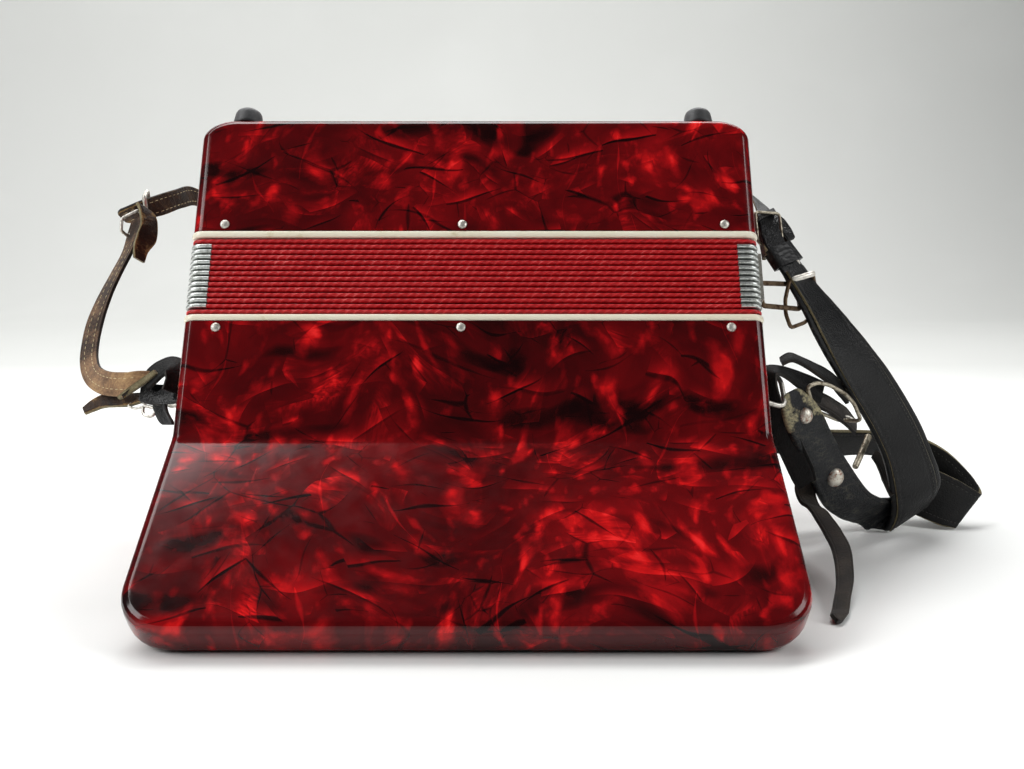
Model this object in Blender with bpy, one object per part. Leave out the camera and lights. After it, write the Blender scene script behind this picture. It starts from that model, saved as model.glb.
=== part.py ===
"""A small piano accordion, 22 keys and 8 bass buttons, standing on its keyboard edge with the bellows closed.

Every piece is modelled in the accordion's own frame, which is the frame of the empty "lean": X runs across the
keyboard, Y from the player's side to the grille, Z from the keyboard to the bass end, and Z is 0 on the line where
the back bends into the keyboard wing. "lean" tips that frame back until the wing's edge and the corner of the
grille both stand on the floor, and "stand" brings the middle of the whole object over the world's origin.
Lengths are metres.
"""

import math

import bmesh
import bpy
from mathutils import Matrix, Vector

# Casing
WIDTH = 0.300
DEPTH = 0.150
WALL = 0.008
GAP = 0.0003
TREBLE_HEIGHT = 0.0626
BASS_HEIGHT = 0.069
EDGE_ROUND = 0.006
EDGE_STEPS = 5
BASS_CORNER_WIDTH = 0.019
BASS_CORNER_HEIGHT = 0.012
BASS_CORNER_STEPS = 8
PIN_RADIUS = 0.0024
PIN_PROUD = 0.0013
PIN_INSET = 0.0175
MIDDLE_PIN_X = -0.0065
PIN_FROM_EDGE = 0.0036

# Keyboard wing
WING_LENGTH = 0.110
WING_ANGLE = math.radians(28.5)
WING_THICKNESS = 0.0205
WING_FLARE = 0.002
WING_CORNER = 0.024
WING_BOARD = 0.008
CREASE_RADIUS = 0.014
FOOT_ROUND = 0.005
RAIL_WIDTH = 0.0085

# Bellows and the ivory strips on both sides of it
TRIM_HEIGHT = 0.0037
TRIM_PROUD = 0.0004
BELLOWS_HEIGHT = 0.0434
BELLOWS_FOLDS = 14
FOLD_GROOVE = 0.0022
BELLOWS_WALL = 0.014
BELLOWS_TRAVEL = 0.200

# Grille
GRILLE_DROP = 0.021
GRILLE_CORNER = 0.014
GRILLE_WALL = 0.003
FRONT_RAIL = 0.0255
LIP_S = 0.012
LIP_E = 0.031
LIP_END_E = 0.0265
SLOT_COUNT = 15
SLOT_WIDTH = 0.006
SLOT_PITCH = 0.0168
SLOT_BOTTOM = 0.078
SLOT_FRONT = 0.026
SLOT_ARCH = 0.35
CLOTH = 0.0006

# Keys
WHITE_KEYS = 13
WHITE_PITCH = 0.020
KEY_GAP = 0.0006
KEY_BASE_E = 0.0135
WHITE_TOP_E = 0.0255
KEY_END = 0.001
KEY_TAIL_S = -0.004
BLACK_WIDTH = 0.0105
BLACK_TOP_WIDTH = 0.0082
BLACK_END_S = 0.061
BLACK_START_S = 0.0140
BLACK_RISE = 0.0090
BLACK_BASE_E = 0.0250
PIVOT_S = 0.002
PIVOT_E = 0.0195
AXLE_RADIUS = 0.0015
AXLE_CLEARANCE = 0.0004
AXLE_SEAT = 0.005
ARM_WIDTH = 0.005
ARM_THICKNESS = 0.005
PALLET_LENGTH = 0.016
PALLET_THICKNESS = 0.004
WHITE_PALLET_WIDTH = 0.013
BLACK_PALLET_WIDTH = 0.011
WHITE_PALLET_Y = 0.104
BLACK_PALLET_Y = 0.070
FIRST_WHITE = 3  # F, counted from C

# Boards and reeds
BOARD_THICKNESS = 0.006
TREBLE_BOARD_SINK = 0.006
BASS_BOARD_SINK = 0.004
PORT_LENGTH = 0.010
PORT_WIDTH = 0.007
BASS_PORT_Y = 0.030
REED_CELLS = 9
TREBLE_REEDS = (0.200, 0.046, 0.030)
BASS_REEDS = (0.160, 0.040, 0.020)
REED_TAPER = 0.3
REED_CELL_SHARE = 0.35
REED_CELL_LOW = 0.2

# Bass end
BUTTON_COLUMNS = 4
BUTTON_ROWS = 2
BUTTON_PITCH = 0.018
BUTTON_ROW_PITCH = 0.016
BUTTON_ROW_SHIFT = 0.006
BUTTON_RADIUS = 0.0042
BUTTON_TRAVEL = 0.0035
BUTTON_PROUD = 0.0008
BUTTON_FLANGE = 0.0018
BUTTON_FIRST_Y = 0.030
POCKET_DEPTH = 0.005
POCKET_MARGIN = 0.010
AIR_RADIUS = 0.0055
AIR_FROM_END = 0.050
AIR_FROM_FRONT = 0.021
AIR_PROUD = 0.0055
FOOT_FROM_END = {"left": 0.0222, "right": 0.0260}
FOOT_INSET = 0.0115
FOOT_RADIUS = 0.0083
FOOT_TOP_RADIUS = 0.0072
FOOT_HEIGHT = 0.0098
FOOT_DOME = 0.0032
HAND_STRAP_FROM_FRONT = 0.060
HAND_STRAP_WIDTH = 0.042
HAND_STRAP_FROM_END = 0.028
HAND_STRAP_RISE = 0.026
LEATHER = 0.0026

# Strap fittings
WIRE = 0.0012
RING_WIRE = 0.0014
NARROW_STRAP = 0.0145
WIDE_STRAP = 0.031
PAD_THICKNESS = 0.0042
FLOOR_CLEAR = 0.0006
BAIL_PLATE = 0.002
BAIL_PLATE_OUTLINE = [(0.008, 0.078), (0.022, 0.078), (0.022, 0.034), (0.040, 0.034), (0.040, 0.104), (0.008, 0.104)]
BAIL_CORNERS = [(0.0, 0.020, 0.079), (0.0270, 0.0425, 0.086), (0.0258, 0.0425, 0.101), (0.0, 0.022, 0.093)]
BAIL_HINGE = (0.021, 0.086)
BAIL_ROUND = 0.003
RING_CORNERS = [(0.0, 0.044, 0.034), (0.018, 0.048, 0.030), (0.018, 0.054, 0.050), (0.0, 0.050, 0.054)]
RING_HINGE = (0.047, 0.044)
RING_ROUND = 0.006


def wing_point(s, e):
    """Point of the accordion's YZ plane, s along the wing from the crease, e from its back to its keys."""
    return (
        -s * math.sin(WING_ANGLE) + e * math.cos(WING_ANGLE),
        -s * math.cos(WING_ANGLE) - e * math.sin(WING_ANGLE),
    )


def wing_coordinates(y, z):
    """The s and e of a point of the YZ plane."""
    return (
        -y * math.sin(WING_ANGLE) - z * math.cos(WING_ANGLE),
        y * math.cos(WING_ANGLE) - z * math.sin(WING_ANGLE),
    )


def clear_scene():
    for thing in list(bpy.data.objects):
        bpy.data.objects.remove(thing, do_unlink=True)


def empty(name, parent=None):
    thing = bpy.data.objects.new(name, None)
    bpy.context.scene.collection.objects.link(thing)
    thing.parent = parent
    return thing


def material(name, color, roughness, metallic=0.0):
    made = bpy.data.materials.new(name)
    made.use_nodes = True
    shader = made.node_tree.nodes["Principled BSDF"]
    shader.inputs["Base Color"].default_value = (*color, 1.0)
    shader.inputs["Roughness"].default_value = roughness
    shader.inputs["Metallic"].default_value = metallic
    return made


def thing_from(name, bm, look, parent, pivot=(0, 0, 0), smooth=True):
    """Object with its origin at pivot, a point of the parent's frame, from a bmesh in the parent's frame."""
    bmesh.ops.recalc_face_normals(bm, faces=bm.faces)
    if bm.calc_volume(signed=True) < 0:
        bmesh.ops.reverse_faces(bm, faces=bm.faces)
    bmesh.ops.translate(bm, verts=bm.verts, vec=-Vector(pivot))
    mesh = bpy.data.meshes.new(name)
    bm.to_mesh(mesh)
    bm.free()
    if look is not None:
        mesh.materials.append(look)
    if smooth:
        mesh.shade_smooth()
        mesh.set_sharp_from_angle(angle=math.radians(35))
    thing = bpy.data.objects.new(name, mesh)
    bpy.context.scene.collection.objects.link(thing)
    thing.parent = parent
    thing.location = pivot
    return thing


def cutter(thing):
    thing.hide_render = True
    thing.display_type = "WIRE"
    return thing


def boolean(target, other, operation):
    cutter(other)
    change = target.modifiers.new(other.name, "BOOLEAN")
    change.operation = operation
    change.solver = "EXACT"
    change.object = other


def take_in(bm, part):
    """Adds another bmesh's faces to bm and frees it."""
    holder = bpy.data.meshes.new("holder")
    part.to_mesh(holder)
    part.free()
    bm.from_mesh(holder)
    bpy.data.meshes.remove(holder)


def extrude_outline(outline, place, depth):
    """Bmesh of a flat outline pushed along depth. place turns an outline point into a 3-D one."""
    bm = bmesh.new()
    face = bm.faces.new([bm.verts.new(place(a, b)) for a, b in outline])
    pushed = bmesh.ops.extrude_face_region(bm, geom=[face])
    moved = [item for item in pushed["geom"] if isinstance(item, bmesh.types.BMVert)]
    bmesh.ops.translate(bm, verts=moved, vec=Vector(depth))
    return bm


def side_prism(outline, x0, x1):
    """A YZ outline pushed along X."""
    return extrude_outline(outline, lambda y, z: (x0, y, z), (x1 - x0, 0, 0))


def back_prism(outline, y0, y1):
    """An XZ outline pushed along Y."""
    return extrude_outline(outline, lambda x, z: (x, y0, z), (0, y1 - y0, 0))


def flat_prism(outline, z0, z1):
    """An XY outline pushed along Z."""
    return extrude_outline(outline, lambda x, y: (x, y, z0), (0, 0, z1 - z0))


def wing_slab(outline, e0, e1):
    """An outline of (x, s) points pushed through the wing's thickness."""
    y, z = wing_point(0, e1 - e0)
    return extrude_outline(outline, lambda x, s: (x, *wing_point(s, e0)), (0, y, z))


def box(x0, x1, y0, y1, z0, z1):
    return flat_prism([(x0, y0), (x1, y0), (x1, y1), (x0, y1)], z0, z1)


def arc(center, radius, start, end, count):
    """Points of an arc in any plane, from the start angle to the end angle, ends included."""
    turn = (end - start) / count
    return [
        (
            center[0] + radius * math.cos(start + turn * k),
            center[1] + radius * math.sin(start + turn * k),
        )
        for k in range(count + 1)
    ]


def rounded_rectangle(x0, x1, y0, y1, radius, count=3):
    points = []
    for k, (cx, cy) in enumerate(((x1, y1), (x0, y1), (x0, y0), (x1, y0))):
        center = (
            cx - math.copysign(radius, cx - (x0 + x1) / 2),
            cy - math.copysign(radius, cy - (y0 + y1) / 2),
        )
        start = k * math.pi / 2
        points += arc(center, radius, start, start + math.pi / 2, count)
    return points


def inset(line, distance):
    """An open outline moved to its left by distance, with mitred corners."""
    moved = []
    for k, point in enumerate(line):
        here = Vector(point)
        before = (here - Vector(line[k - 1])).normalized() if k else None
        after = (Vector(line[k + 1]) - here).normalized() if k + 1 < len(line) else None
        before = before or after
        after = after or before
        normal_before = Vector((-before.y, before.x))
        normal_after = Vector((-after.y, after.x))
        miter = (normal_before + normal_after).normalized()
        moved.append(tuple(here + miter * (distance / miter.dot(normal_before))))
    return moved


def skin_rings(rings, closed):
    """Bmesh over rings of points. closed joins the last ring to the first, otherwise both ends are capped."""
    bm = bmesh.new()
    made = [[bm.verts.new(point) for point in ring] for ring in rings]
    pairs = list(zip(made, made[1:]))
    if closed:
        pairs.append((made[-1], made[0]))
    for low, high in pairs:
        for k in range(len(low)):
            j = (k + 1) % len(low)
            bm.faces.new((low[k], low[j], high[j], high[k]))
    if not closed:
        bm.faces.new(made[0])
        bm.faces.new(made[-1])
    return bm


def turned(profile, center, axis="Z", sides=16):
    """A solid turned about a line through center, from (radius, height) points that start and end on the line."""
    bm = bmesh.new()
    verts = [bm.verts.new((radius, 0, height)) for radius, height in profile]
    edges = [bm.edges.new(pair) for pair in zip(verts, verts[1:])]
    bmesh.ops.spin(
        bm,
        geom=verts + edges,
        cent=(0, 0, 0),
        axis=(0, 0, 1),
        angle=math.tau,
        steps=sides,
        use_duplicate=False,
    )
    bmesh.ops.remove_doubles(bm, verts=bm.verts, dist=1e-6)
    if axis == "X":
        bmesh.ops.rotate(bm, verts=bm.verts, cent=(0, 0, 0), matrix=Matrix.Rotation(math.pi / 2, 3, "Y"))
    if axis == "-Y":
        bmesh.ops.rotate(bm, verts=bm.verts, cent=(0, 0, 0), matrix=Matrix.Rotation(math.pi / 2, 3, "X"))
    bmesh.ops.translate(bm, verts=bm.verts, vec=Vector(center))
    return bm


def rod(center, radius, length, axis, sides=12):
    """A plain cylinder with its middle at center."""
    half = length / 2
    return turned([(0, -half), (radius, -half), (radius, half), (0, half)], center, axis, sides)


# Outlines of the treble side


def lean_angle():
    """How far the accordion leans back, from the line that touches the wing's foot and the grille's corner."""
    foot = Vector(wing_point(WING_LENGTH - FOOT_ROUND, WING_THICKNESS - FOOT_ROUND))
    corner = Vector((DEPTH - GRILLE_CORNER, GRILLE_CORNER - GRILLE_DROP))
    apart = corner - foot
    return math.atan2(apart.y, apart.x) - math.asin((GRILLE_CORNER - FOOT_ROUND) / apart.length)


def crease_over_floor():
    """World Y and Z of the crease, with the foot's line of contact at Y = 0 on the floor."""
    lean = lean_angle()
    y, z = wing_point(WING_LENGTH - FOOT_ROUND, WING_THICKNESS - FOOT_ROUND)
    along = y * math.cos(lean) + z * math.sin(lean)
    up = -y * math.sin(lean) + z * math.cos(lean) - FOOT_ROUND
    return -along, -up


def grille_line():
    """The grille's outer line in the YZ plane, from the front rail round the corner to the lip over the keys."""
    center = (DEPTH - GRILLE_CORNER, GRILLE_CORNER - GRILLE_DROP)
    line = [(DEPTH, TREBLE_HEIGHT - FRONT_RAIL - GAP)]
    line += arc(center, GRILLE_CORNER, 0, -math.pi / 2, 8)
    line.append(wing_point(LIP_S, LIP_E))
    line.append(wing_point(LIP_S, LIP_END_E))
    return line


def crease_arc():
    """The back's concave bend, from the upright part to the wing."""
    start = CREASE_RADIUS * math.tan(WING_ANGLE / 2)
    return arc((-CREASE_RADIUS, start), CREASE_RADIUS, 0, -WING_ANGLE, 5)


def on_back(y, z):
    """Whether a point of the YZ plane lies on the back's surface."""
    near = 1e-5
    start = CREASE_RADIUS * math.tan(WING_ANGLE / 2)
    s, e = wing_coordinates(y, z)
    if z >= start - near:
        return abs(y) < near
    if s >= start - near:
        return abs(e) < near
    return abs(math.hypot(y + CREASE_RADIUS, z - start) - CREASE_RADIUS) < near


def flare(z):
    """How much wider each side is than the bass end, growing through the bend."""
    start = CREASE_RADIUS
    share = min(max((start - z) / (2.2 * start), 0.0), 1.0)
    return WING_FLARE * share * share * (3 - 2 * share)


def treble_shell():
    """The outer form of the treble case, with its back edges and the wing's corners rounded."""
    covered = inset(grille_line(), -(GRILLE_WALL + GAP))
    below_lip = wing_coordinates(*covered[-1])[0]
    outline = [(0, TREBLE_HEIGHT)]
    outline += crease_arc()
    outline.append(wing_point(WING_LENGTH, 0))
    outline.append(wing_point(WING_LENGTH, WING_THICKNESS))
    outline.append(wing_point(below_lip, WING_THICKNESS))
    outline += reversed(covered[1:-1])
    rail = TREBLE_HEIGHT - FRONT_RAIL
    outline += [(covered[0][0], rail), (DEPTH, rail), (DEPTH, TREBLE_HEIGHT)]
    bm = side_prism(outline, -WIDTH / 2, WIDTH / 2)
    near = 1e-5
    ends = []
    for edge in bm.edges:
        a, b = (wing_coordinates(v.co.y, v.co.z) for v in edge.verts)
        at_end = abs(a[0] - WING_LENGTH) < near and abs(b[0] - WING_LENGTH) < near
        if at_end and abs(a[1] - b[1]) > near:
            ends.append(edge)
    bmesh.ops.bevel(bm, geom=ends, offset=WING_CORNER, segments=8, profile=0.5, affect="EDGES")
    foot = []
    for edge in bm.edges:
        a, b = (wing_coordinates(v.co.y, v.co.z) for v in edge.verts)
        level = abs(a[1] - WING_THICKNESS) < near and abs(b[1] - WING_THICKNESS) < near
        if level and min(a[0], b[0]) > WING_LENGTH - WING_CORNER - near:
            foot.append(edge)
    bmesh.ops.bevel(bm, geom=foot, offset=FOOT_ROUND, segments=3, profile=0.5, affect="EDGES")
    rim = []
    for edge in bm.edges:
        first, second = (v.co for v in edge.verts)
        if not (on_back(first.y, first.z) and on_back(second.y, second.z)):
            continue
        if min(first.z, second.z) > TREBLE_HEIGHT - near:
            continue
        if edge.calc_face_angle(0) > math.radians(45):
            rim.append(edge)
    bmesh.ops.bevel(bm, geom=rim, offset=EDGE_ROUND, segments=EDGE_STEPS, profile=0.5, affect="EDGES")
    for v in bm.verts:
        half = WIDTH / 2
        v.co.x *= (half + flare(v.co.z)) / half
    return bm


def treble_hollow():
    """What is hollow behind the grille, in the YZ plane."""
    start = CREASE_RADIUS * math.tan(WING_ANGLE / 2)
    beyond = 2 * GRILLE_WALL
    return [
        (WALL, TREBLE_HEIGHT + beyond),
        (WALL, start),
        wing_point(0.0, WING_BOARD),
        wing_point(LIP_S, WING_BOARD),
        wing_point(LIP_S, 2 * LIP_E),
        (DEPTH / 2, -GRILLE_DROP - 4 * beyond),
        (DEPTH + beyond, -GRILLE_DROP - 4 * beyond),
        (DEPTH + beyond, TREBLE_HEIGHT - FRONT_RAIL),
        (DEPTH - WALL, TREBLE_HEIGHT - FRONT_RAIL),
        (DEPTH - WALL, TREBLE_HEIGHT + beyond),
    ]


def keyboard_half():
    return WHITE_KEYS * WHITE_PITCH / 2 + KEY_GAP


def key_outer_s():
    return WING_LENGTH - RAIL_WIDTH - KEY_END


def pivot_yz():
    return wing_point(PIVOT_S, PIVOT_E)


def build_treble_case(lean, look):
    case = thing_from("treble_case", treble_shell(), look["celluloid"], lean)
    inner = WIDTH / 2 - WALL
    boolean(case, thing_from("treble_hollow", side_prism(treble_hollow(), -inner, inner), None, lean), "DIFFERENCE")
    half = keyboard_half()
    bay = [
        (-half, WING_LENGTH - RAIL_WIDTH),
        (half, WING_LENGTH - RAIL_WIDTH),
        (half, PIVOT_S),
        (-half, PIVOT_S),
    ]
    boolean(case, thing_from("keyboard_bay", wing_slab(bay, WING_BOARD, 2 * LIP_E), None, lean), "DIFFERENCE")
    seat = rod((0, *pivot_yz()), AXLE_RADIUS + GAP, 2 * (inner + AXLE_SEAT), "X")
    boolean(case, thing_from("axle_seat", seat, None, lean), "DIFFERENCE")
    add_pins(case, TREBLE_HEIGHT - PIN_FROM_EDGE, lean, "treble_pins")


def add_pins(case, z, lean, name):
    """Domed heads of the pins that hold the bellows, three on the back and three on the front."""
    steps = 3
    dome = [(0, -PIN_RADIUS)]
    dome += [
        (PIN_RADIUS * math.cos(k * math.pi / 2 / steps), PIN_PROUD * math.sin(k * math.pi / 2 / steps))
        for k in range(steps)
    ]
    dome[1:1] = [(PIN_RADIUS, -PIN_RADIUS)]
    dome.append((0, PIN_PROUD))
    heads = bmesh.new()
    for x in (-WIDTH / 2 + PIN_INSET, MIDDLE_PIN_X, WIDTH / 2 - PIN_INSET):
        for y, facing in ((0.0, 1), (DEPTH, -1)):
            head = turned(dome, (0, 0, 0), "-Y", 10)
            if facing < 0:
                bmesh.ops.rotate(head, verts=head.verts, cent=(0, 0, 0), matrix=Matrix.Rotation(math.pi, 3, "Z"))
            bmesh.ops.translate(head, verts=head.verts, vec=(x, y, z))
            take_in(heads, head)
    boolean(case, thing_from(name, heads, None, lean), "UNION")


def build_grille(lean, look):
    outer = grille_line()
    inner = inset(outer, -GRILLE_WALL)
    grille = thing_from(
        "grille", side_prism(outer + inner[::-1], -WIDTH / 2, WIDTH / 2), look["grille"], lean
    )
    slots = bmesh.new()
    middle = (SLOT_COUNT - 1) / 2
    radius = SLOT_WIDTH / 2
    for k in range(SLOT_COUNT):
        x = (k - middle) * SLOT_PITCH
        share = 1 - SLOT_ARCH * ((k - middle) / middle) ** 2
        under = SLOT_BOTTOM * share / 2 - radius
        front = SLOT_FRONT * share / 2 - radius
        y = DEPTH * 0.55
        stadium = arc((x, y + under), radius, 0, math.pi, 4) + arc((x, y - under), radius, math.pi, math.tau, 4)
        z = (TREBLE_HEIGHT - FRONT_RAIL - GRILLE_DROP + GRILLE_CORNER) / 2
        upright = arc((x, z + front), radius, 0, math.pi, 4) + arc((x, z - front), radius, math.pi, math.tau, 4)
        take_in(slots, flat_prism(stadium, -GRILLE_DROP - LIP_E / 2, -GRILLE_DROP + LIP_E / 2))
        take_in(slots, back_prism(upright, DEPTH - 2 * GRILLE_WALL, DEPTH + GRILLE_WALL))
    boolean(grille, thing_from("grille_slots", slots, None, lean), "DIFFERENCE")
    near = inset(outer, -(GRILLE_WALL + GAP))[1:-1]
    far = inset(outer, -(GRILLE_WALL + GAP + CLOTH))[1:-1]
    reach = WIDTH / 2 - WALL - GAP
    thing_from("grille_cloth", side_prism(near + far[::-1], -reach, reach), look["cloth"], lean)


def board_top():
    return TREBLE_HEIGHT - TREBLE_BOARD_SINK


def build_board(name, z0, ports, lean, look):
    """A board that closes a case towards the bellows, with an oblong port for each note."""
    inner = WIDTH / 2 - WALL - GAP
    board = thing_from(
        name, box(-inner, inner, WALL + GAP, DEPTH - WALL - GAP, z0, z0 + BOARD_THICKNESS), look["wood"], lean
    )
    holes = bmesh.new()
    for x, y in ports:
        hole = box(
            x - PORT_WIDTH / 2,
            x + PORT_WIDTH / 2,
            y - PORT_LENGTH / 2,
            y + PORT_LENGTH / 2,
            z0 - BOARD_THICKNESS,
            z0 + 2 * BOARD_THICKNESS,
        )
        take_in(holes, hole)
    boolean(board, thing_from(name + "_ports", holes, None, lean), "DIFFERENCE")


def build_reeds(name, size, z, grows, lean, look):
    """A reed block: a tapered wooden bar with a row of cells along each side."""
    length, thick, height = size
    tip = z + grows * height
    half = thick / 2
    narrow = half * (1 - REED_TAPER)
    y = DEPTH / 2
    outline = [(y - half, z), (y + half, z), (y + narrow, tip), (y - narrow, tip)]
    block = thing_from(name, side_prism(outline, -length / 2, length / 2), look["wood"], lean)
    cells = bmesh.new()
    pitch = length / REED_CELLS
    depth = half / 2
    for k in range(REED_CELLS):
        x = (k - (REED_CELLS - 1) / 2) * pitch
        for side in (-1, 1):
            near, far = sorted((y + side * (half - depth), y + side * 2 * half))
            low, high = sorted((z + grows * height * REED_CELL_LOW, z + grows * height * (1 - REED_CELL_LOW)))
            take_in(cells, box(x - pitch * REED_CELL_SHARE, x + pitch * REED_CELL_SHARE, near, far, low, high))
    boolean(block, thing_from(name + "_cells", cells, None, lean), "DIFFERENCE")


# Keyboard


def key_plan():
    """(name, white index or the index left of a black key, is black) of each key, from the low end."""
    plan = []
    after = {0, 1, 3, 4, 5}
    names = "CDEFGAB"
    for k in range(WHITE_KEYS):
        letter = (FIRST_WHITE + k) % 7
        octave = (FIRST_WHITE + k) // 7
        plan.append((f"key_white_{k + 1:02d}_{names[letter]}{octave}", k, False))
        if letter in after and k + 1 < WHITE_KEYS:
            plan.append((f"key_black_{k + 1:02d}_{names[letter]}{octave}", k, True))
    return plan


def white_x(k):
    return (k - (WHITE_KEYS - 1) / 2) * WHITE_PITCH


def arm_outline(pallet_y):
    """The lever arm of a key in the YZ plane, from the pivot to its pallet."""
    pivot = Vector(pivot_yz())
    tip = Vector((pallet_y, board_top() - BOARD_THICKNESS - GAP - PALLET_THICKNESS))
    along = (tip - pivot).normalized()
    across = Vector((-along.y, along.x)) * ARM_THICKNESS / 2
    return [tuple(pivot - across), tuple(tip - across), tuple(tip + across), tuple(pivot + across)]


def add_lever(key, name, x, pallet_y, pallet_width, lean):
    """The arm, its pallet against the board, and the bore for the axle."""
    arm = side_prism(arm_outline(pallet_y), x - ARM_WIDTH / 2, x + ARM_WIDTH / 2)
    boolean(key, thing_from(name + "_arm", arm, None, lean), "UNION")
    under = board_top() - BOARD_THICKNESS - GAP
    pallet = box(
        x - pallet_width / 2,
        x + pallet_width / 2,
        pallet_y - PALLET_LENGTH / 2,
        pallet_y + PALLET_LENGTH / 2,
        under - PALLET_THICKNESS,
        under,
    )
    boolean(key, thing_from(name + "_pallet", pallet, None, lean), "UNION")
    bore = rod((x, *pivot_yz()), AXLE_RADIUS + AXLE_CLEARANCE, WHITE_PITCH * 1.5, "X")
    boolean(key, thing_from(name + "_bore", bore, None, lean), "DIFFERENCE")


def build_keys(lean, look):
    plan = key_plan()
    blacks = {k for _, k, black in plan if black}
    wide = WHITE_PITCH / 2 - KEY_GAP / 2
    narrow = WHITE_PITCH / 2 - BLACK_WIDTH / 2 - KEY_GAP
    end = key_outer_s()
    notch = BLACK_END_S + KEY_GAP
    for name, k, black in plan:
        x = white_x(k)
        pivot = (x, *pivot_yz())
        if not black:
            left = narrow if k - 1 in blacks else wide
            right = narrow if k in blacks else wide
            outline = [(x - wide, end), (x + wide, end), (x + wide, notch)]
            if right < wide:
                outline.append((x + right, notch))
            outline += [(x + right, KEY_TAIL_S), (x - left, KEY_TAIL_S)]
            if left < wide:
                outline.append((x - left, notch))
            outline.append((x - wide, notch))
            key = thing_from(name, wing_slab(outline, KEY_BASE_E, WHITE_TOP_E), look["white_key"], lean, pivot)
            add_lever(key, name, x, WHITE_PALLET_Y, WHITE_PALLET_WIDTH, lean)
            continue
        x += WHITE_PITCH / 2
        pivot = (x, *pivot_yz())
        half = BLACK_WIDTH / 2
        stem = [(x - half, BLACK_END_S), (x + half, BLACK_END_S), (x + half, KEY_TAIL_S), (x - half, KEY_TAIL_S)]
        key = thing_from(name, wing_slab(stem, KEY_BASE_E, BLACK_BASE_E), look["black_key"], lean, pivot)
        slim = BLACK_TOP_WIDTH / 2
        slope = BLACK_RISE / 3
        rings = []
        for e, w, s0, s1 in (
            (BLACK_BASE_E - GAP, half, BLACK_START_S, BLACK_END_S),
            (BLACK_BASE_E + BLACK_RISE, slim, BLACK_START_S, BLACK_END_S - slope),
        ):
            rings.append([(a, *wing_point(s, e)) for a, s in ((x - w, s0), (x + w, s0), (x + w, s1), (x - w, s1))])
        boolean(key, thing_from(name + "_cap", skin_rings(rings, False), None, lean), "UNION")
        add_lever(key, name, x, BLACK_PALLET_Y, BLACK_PALLET_WIDTH, lean)


# Bellows and bass end


def bass_base():
    """Z where the bass case begins."""
    return TREBLE_HEIGHT + 2 * TRIM_HEIGHT + BELLOWS_HEIGHT


def bass_top():
    return bass_base() + BASS_HEIGHT


def frame_ring(z, proud, wall=0.0):
    """Rounded rectangle of the casing's section at height z, grown by proud or drawn in by wall."""
    grow = proud - wall
    radius = max(EDGE_ROUND + grow, 0.002)
    return [
        (x, y, z)
        for x, y in rounded_rectangle(-WIDTH / 2 - grow, WIDTH / 2 + grow, -grow, DEPTH + grow, radius)
    ]


def build_trim(name, z, lean, look):
    rings = [
        frame_ring(z + GAP, TRIM_PROUD),
        frame_ring(z + TRIM_HEIGHT, TRIM_PROUD),
        frame_ring(z + TRIM_HEIGHT, 0, WALL),
        frame_ring(z + GAP, 0, WALL),
    ]
    thing_from(name, skin_rings(rings, True), look["ivory"], lean)


def build_bellows(lean, look):
    low = TREBLE_HEIGHT + TRIM_HEIGHT + GAP
    high = bass_base() - TRIM_HEIGHT
    pitch = (high - low) / BELLOWS_FOLDS
    rings = []
    for k in range(2 * BELLOWS_FOLDS + 1):
        groove = 0 if k % 2 else -FOLD_GROOVE
        rings.append(frame_ring(low + k * pitch / 2, groove))
    rings.append(frame_ring(high, 0, BELLOWS_WALL))
    rings.append(frame_ring(low, 0, BELLOWS_WALL))
    thing_from("bellows", skin_rings(rings, True), look["bellows"], lean)


def button_places():
    """(row, column, x, y) of each bass button."""
    places = []
    for row in range(BUTTON_ROWS):
        for column in range(BUTTON_COLUMNS):
            x = (column - (BUTTON_COLUMNS - 1) / 2) * BUTTON_PITCH + (row - 0.5) * BUTTON_ROW_SHIFT
            places.append((row, column, x, BUTTON_FIRST_Y + row * BUTTON_ROW_PITCH))
    return places


def air_place():
    """X and Y of the air button."""
    return WIDTH / 2 - AIR_FROM_END, DEPTH - AIR_FROM_FRONT


def bass_outline():
    """The bass case seen from the back: square towards the bellows, with elliptical corners at the far end."""
    half = WIDTH / 2
    low = bass_base() + GAP
    high = bass_top()
    outline = [(-half, low), (half, low)]
    quarter = arc((0, 0), 1, 0, math.pi / 2, BASS_CORNER_STEPS)
    corner = [
        (half - BASS_CORNER_WIDTH * (1 - a), high - BASS_CORNER_HEIGHT * (1 - b))
        for a, b in quarter
    ]
    outline += corner
    outline += [(-x, z) for x, z in reversed(corner)]
    return outline


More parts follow.
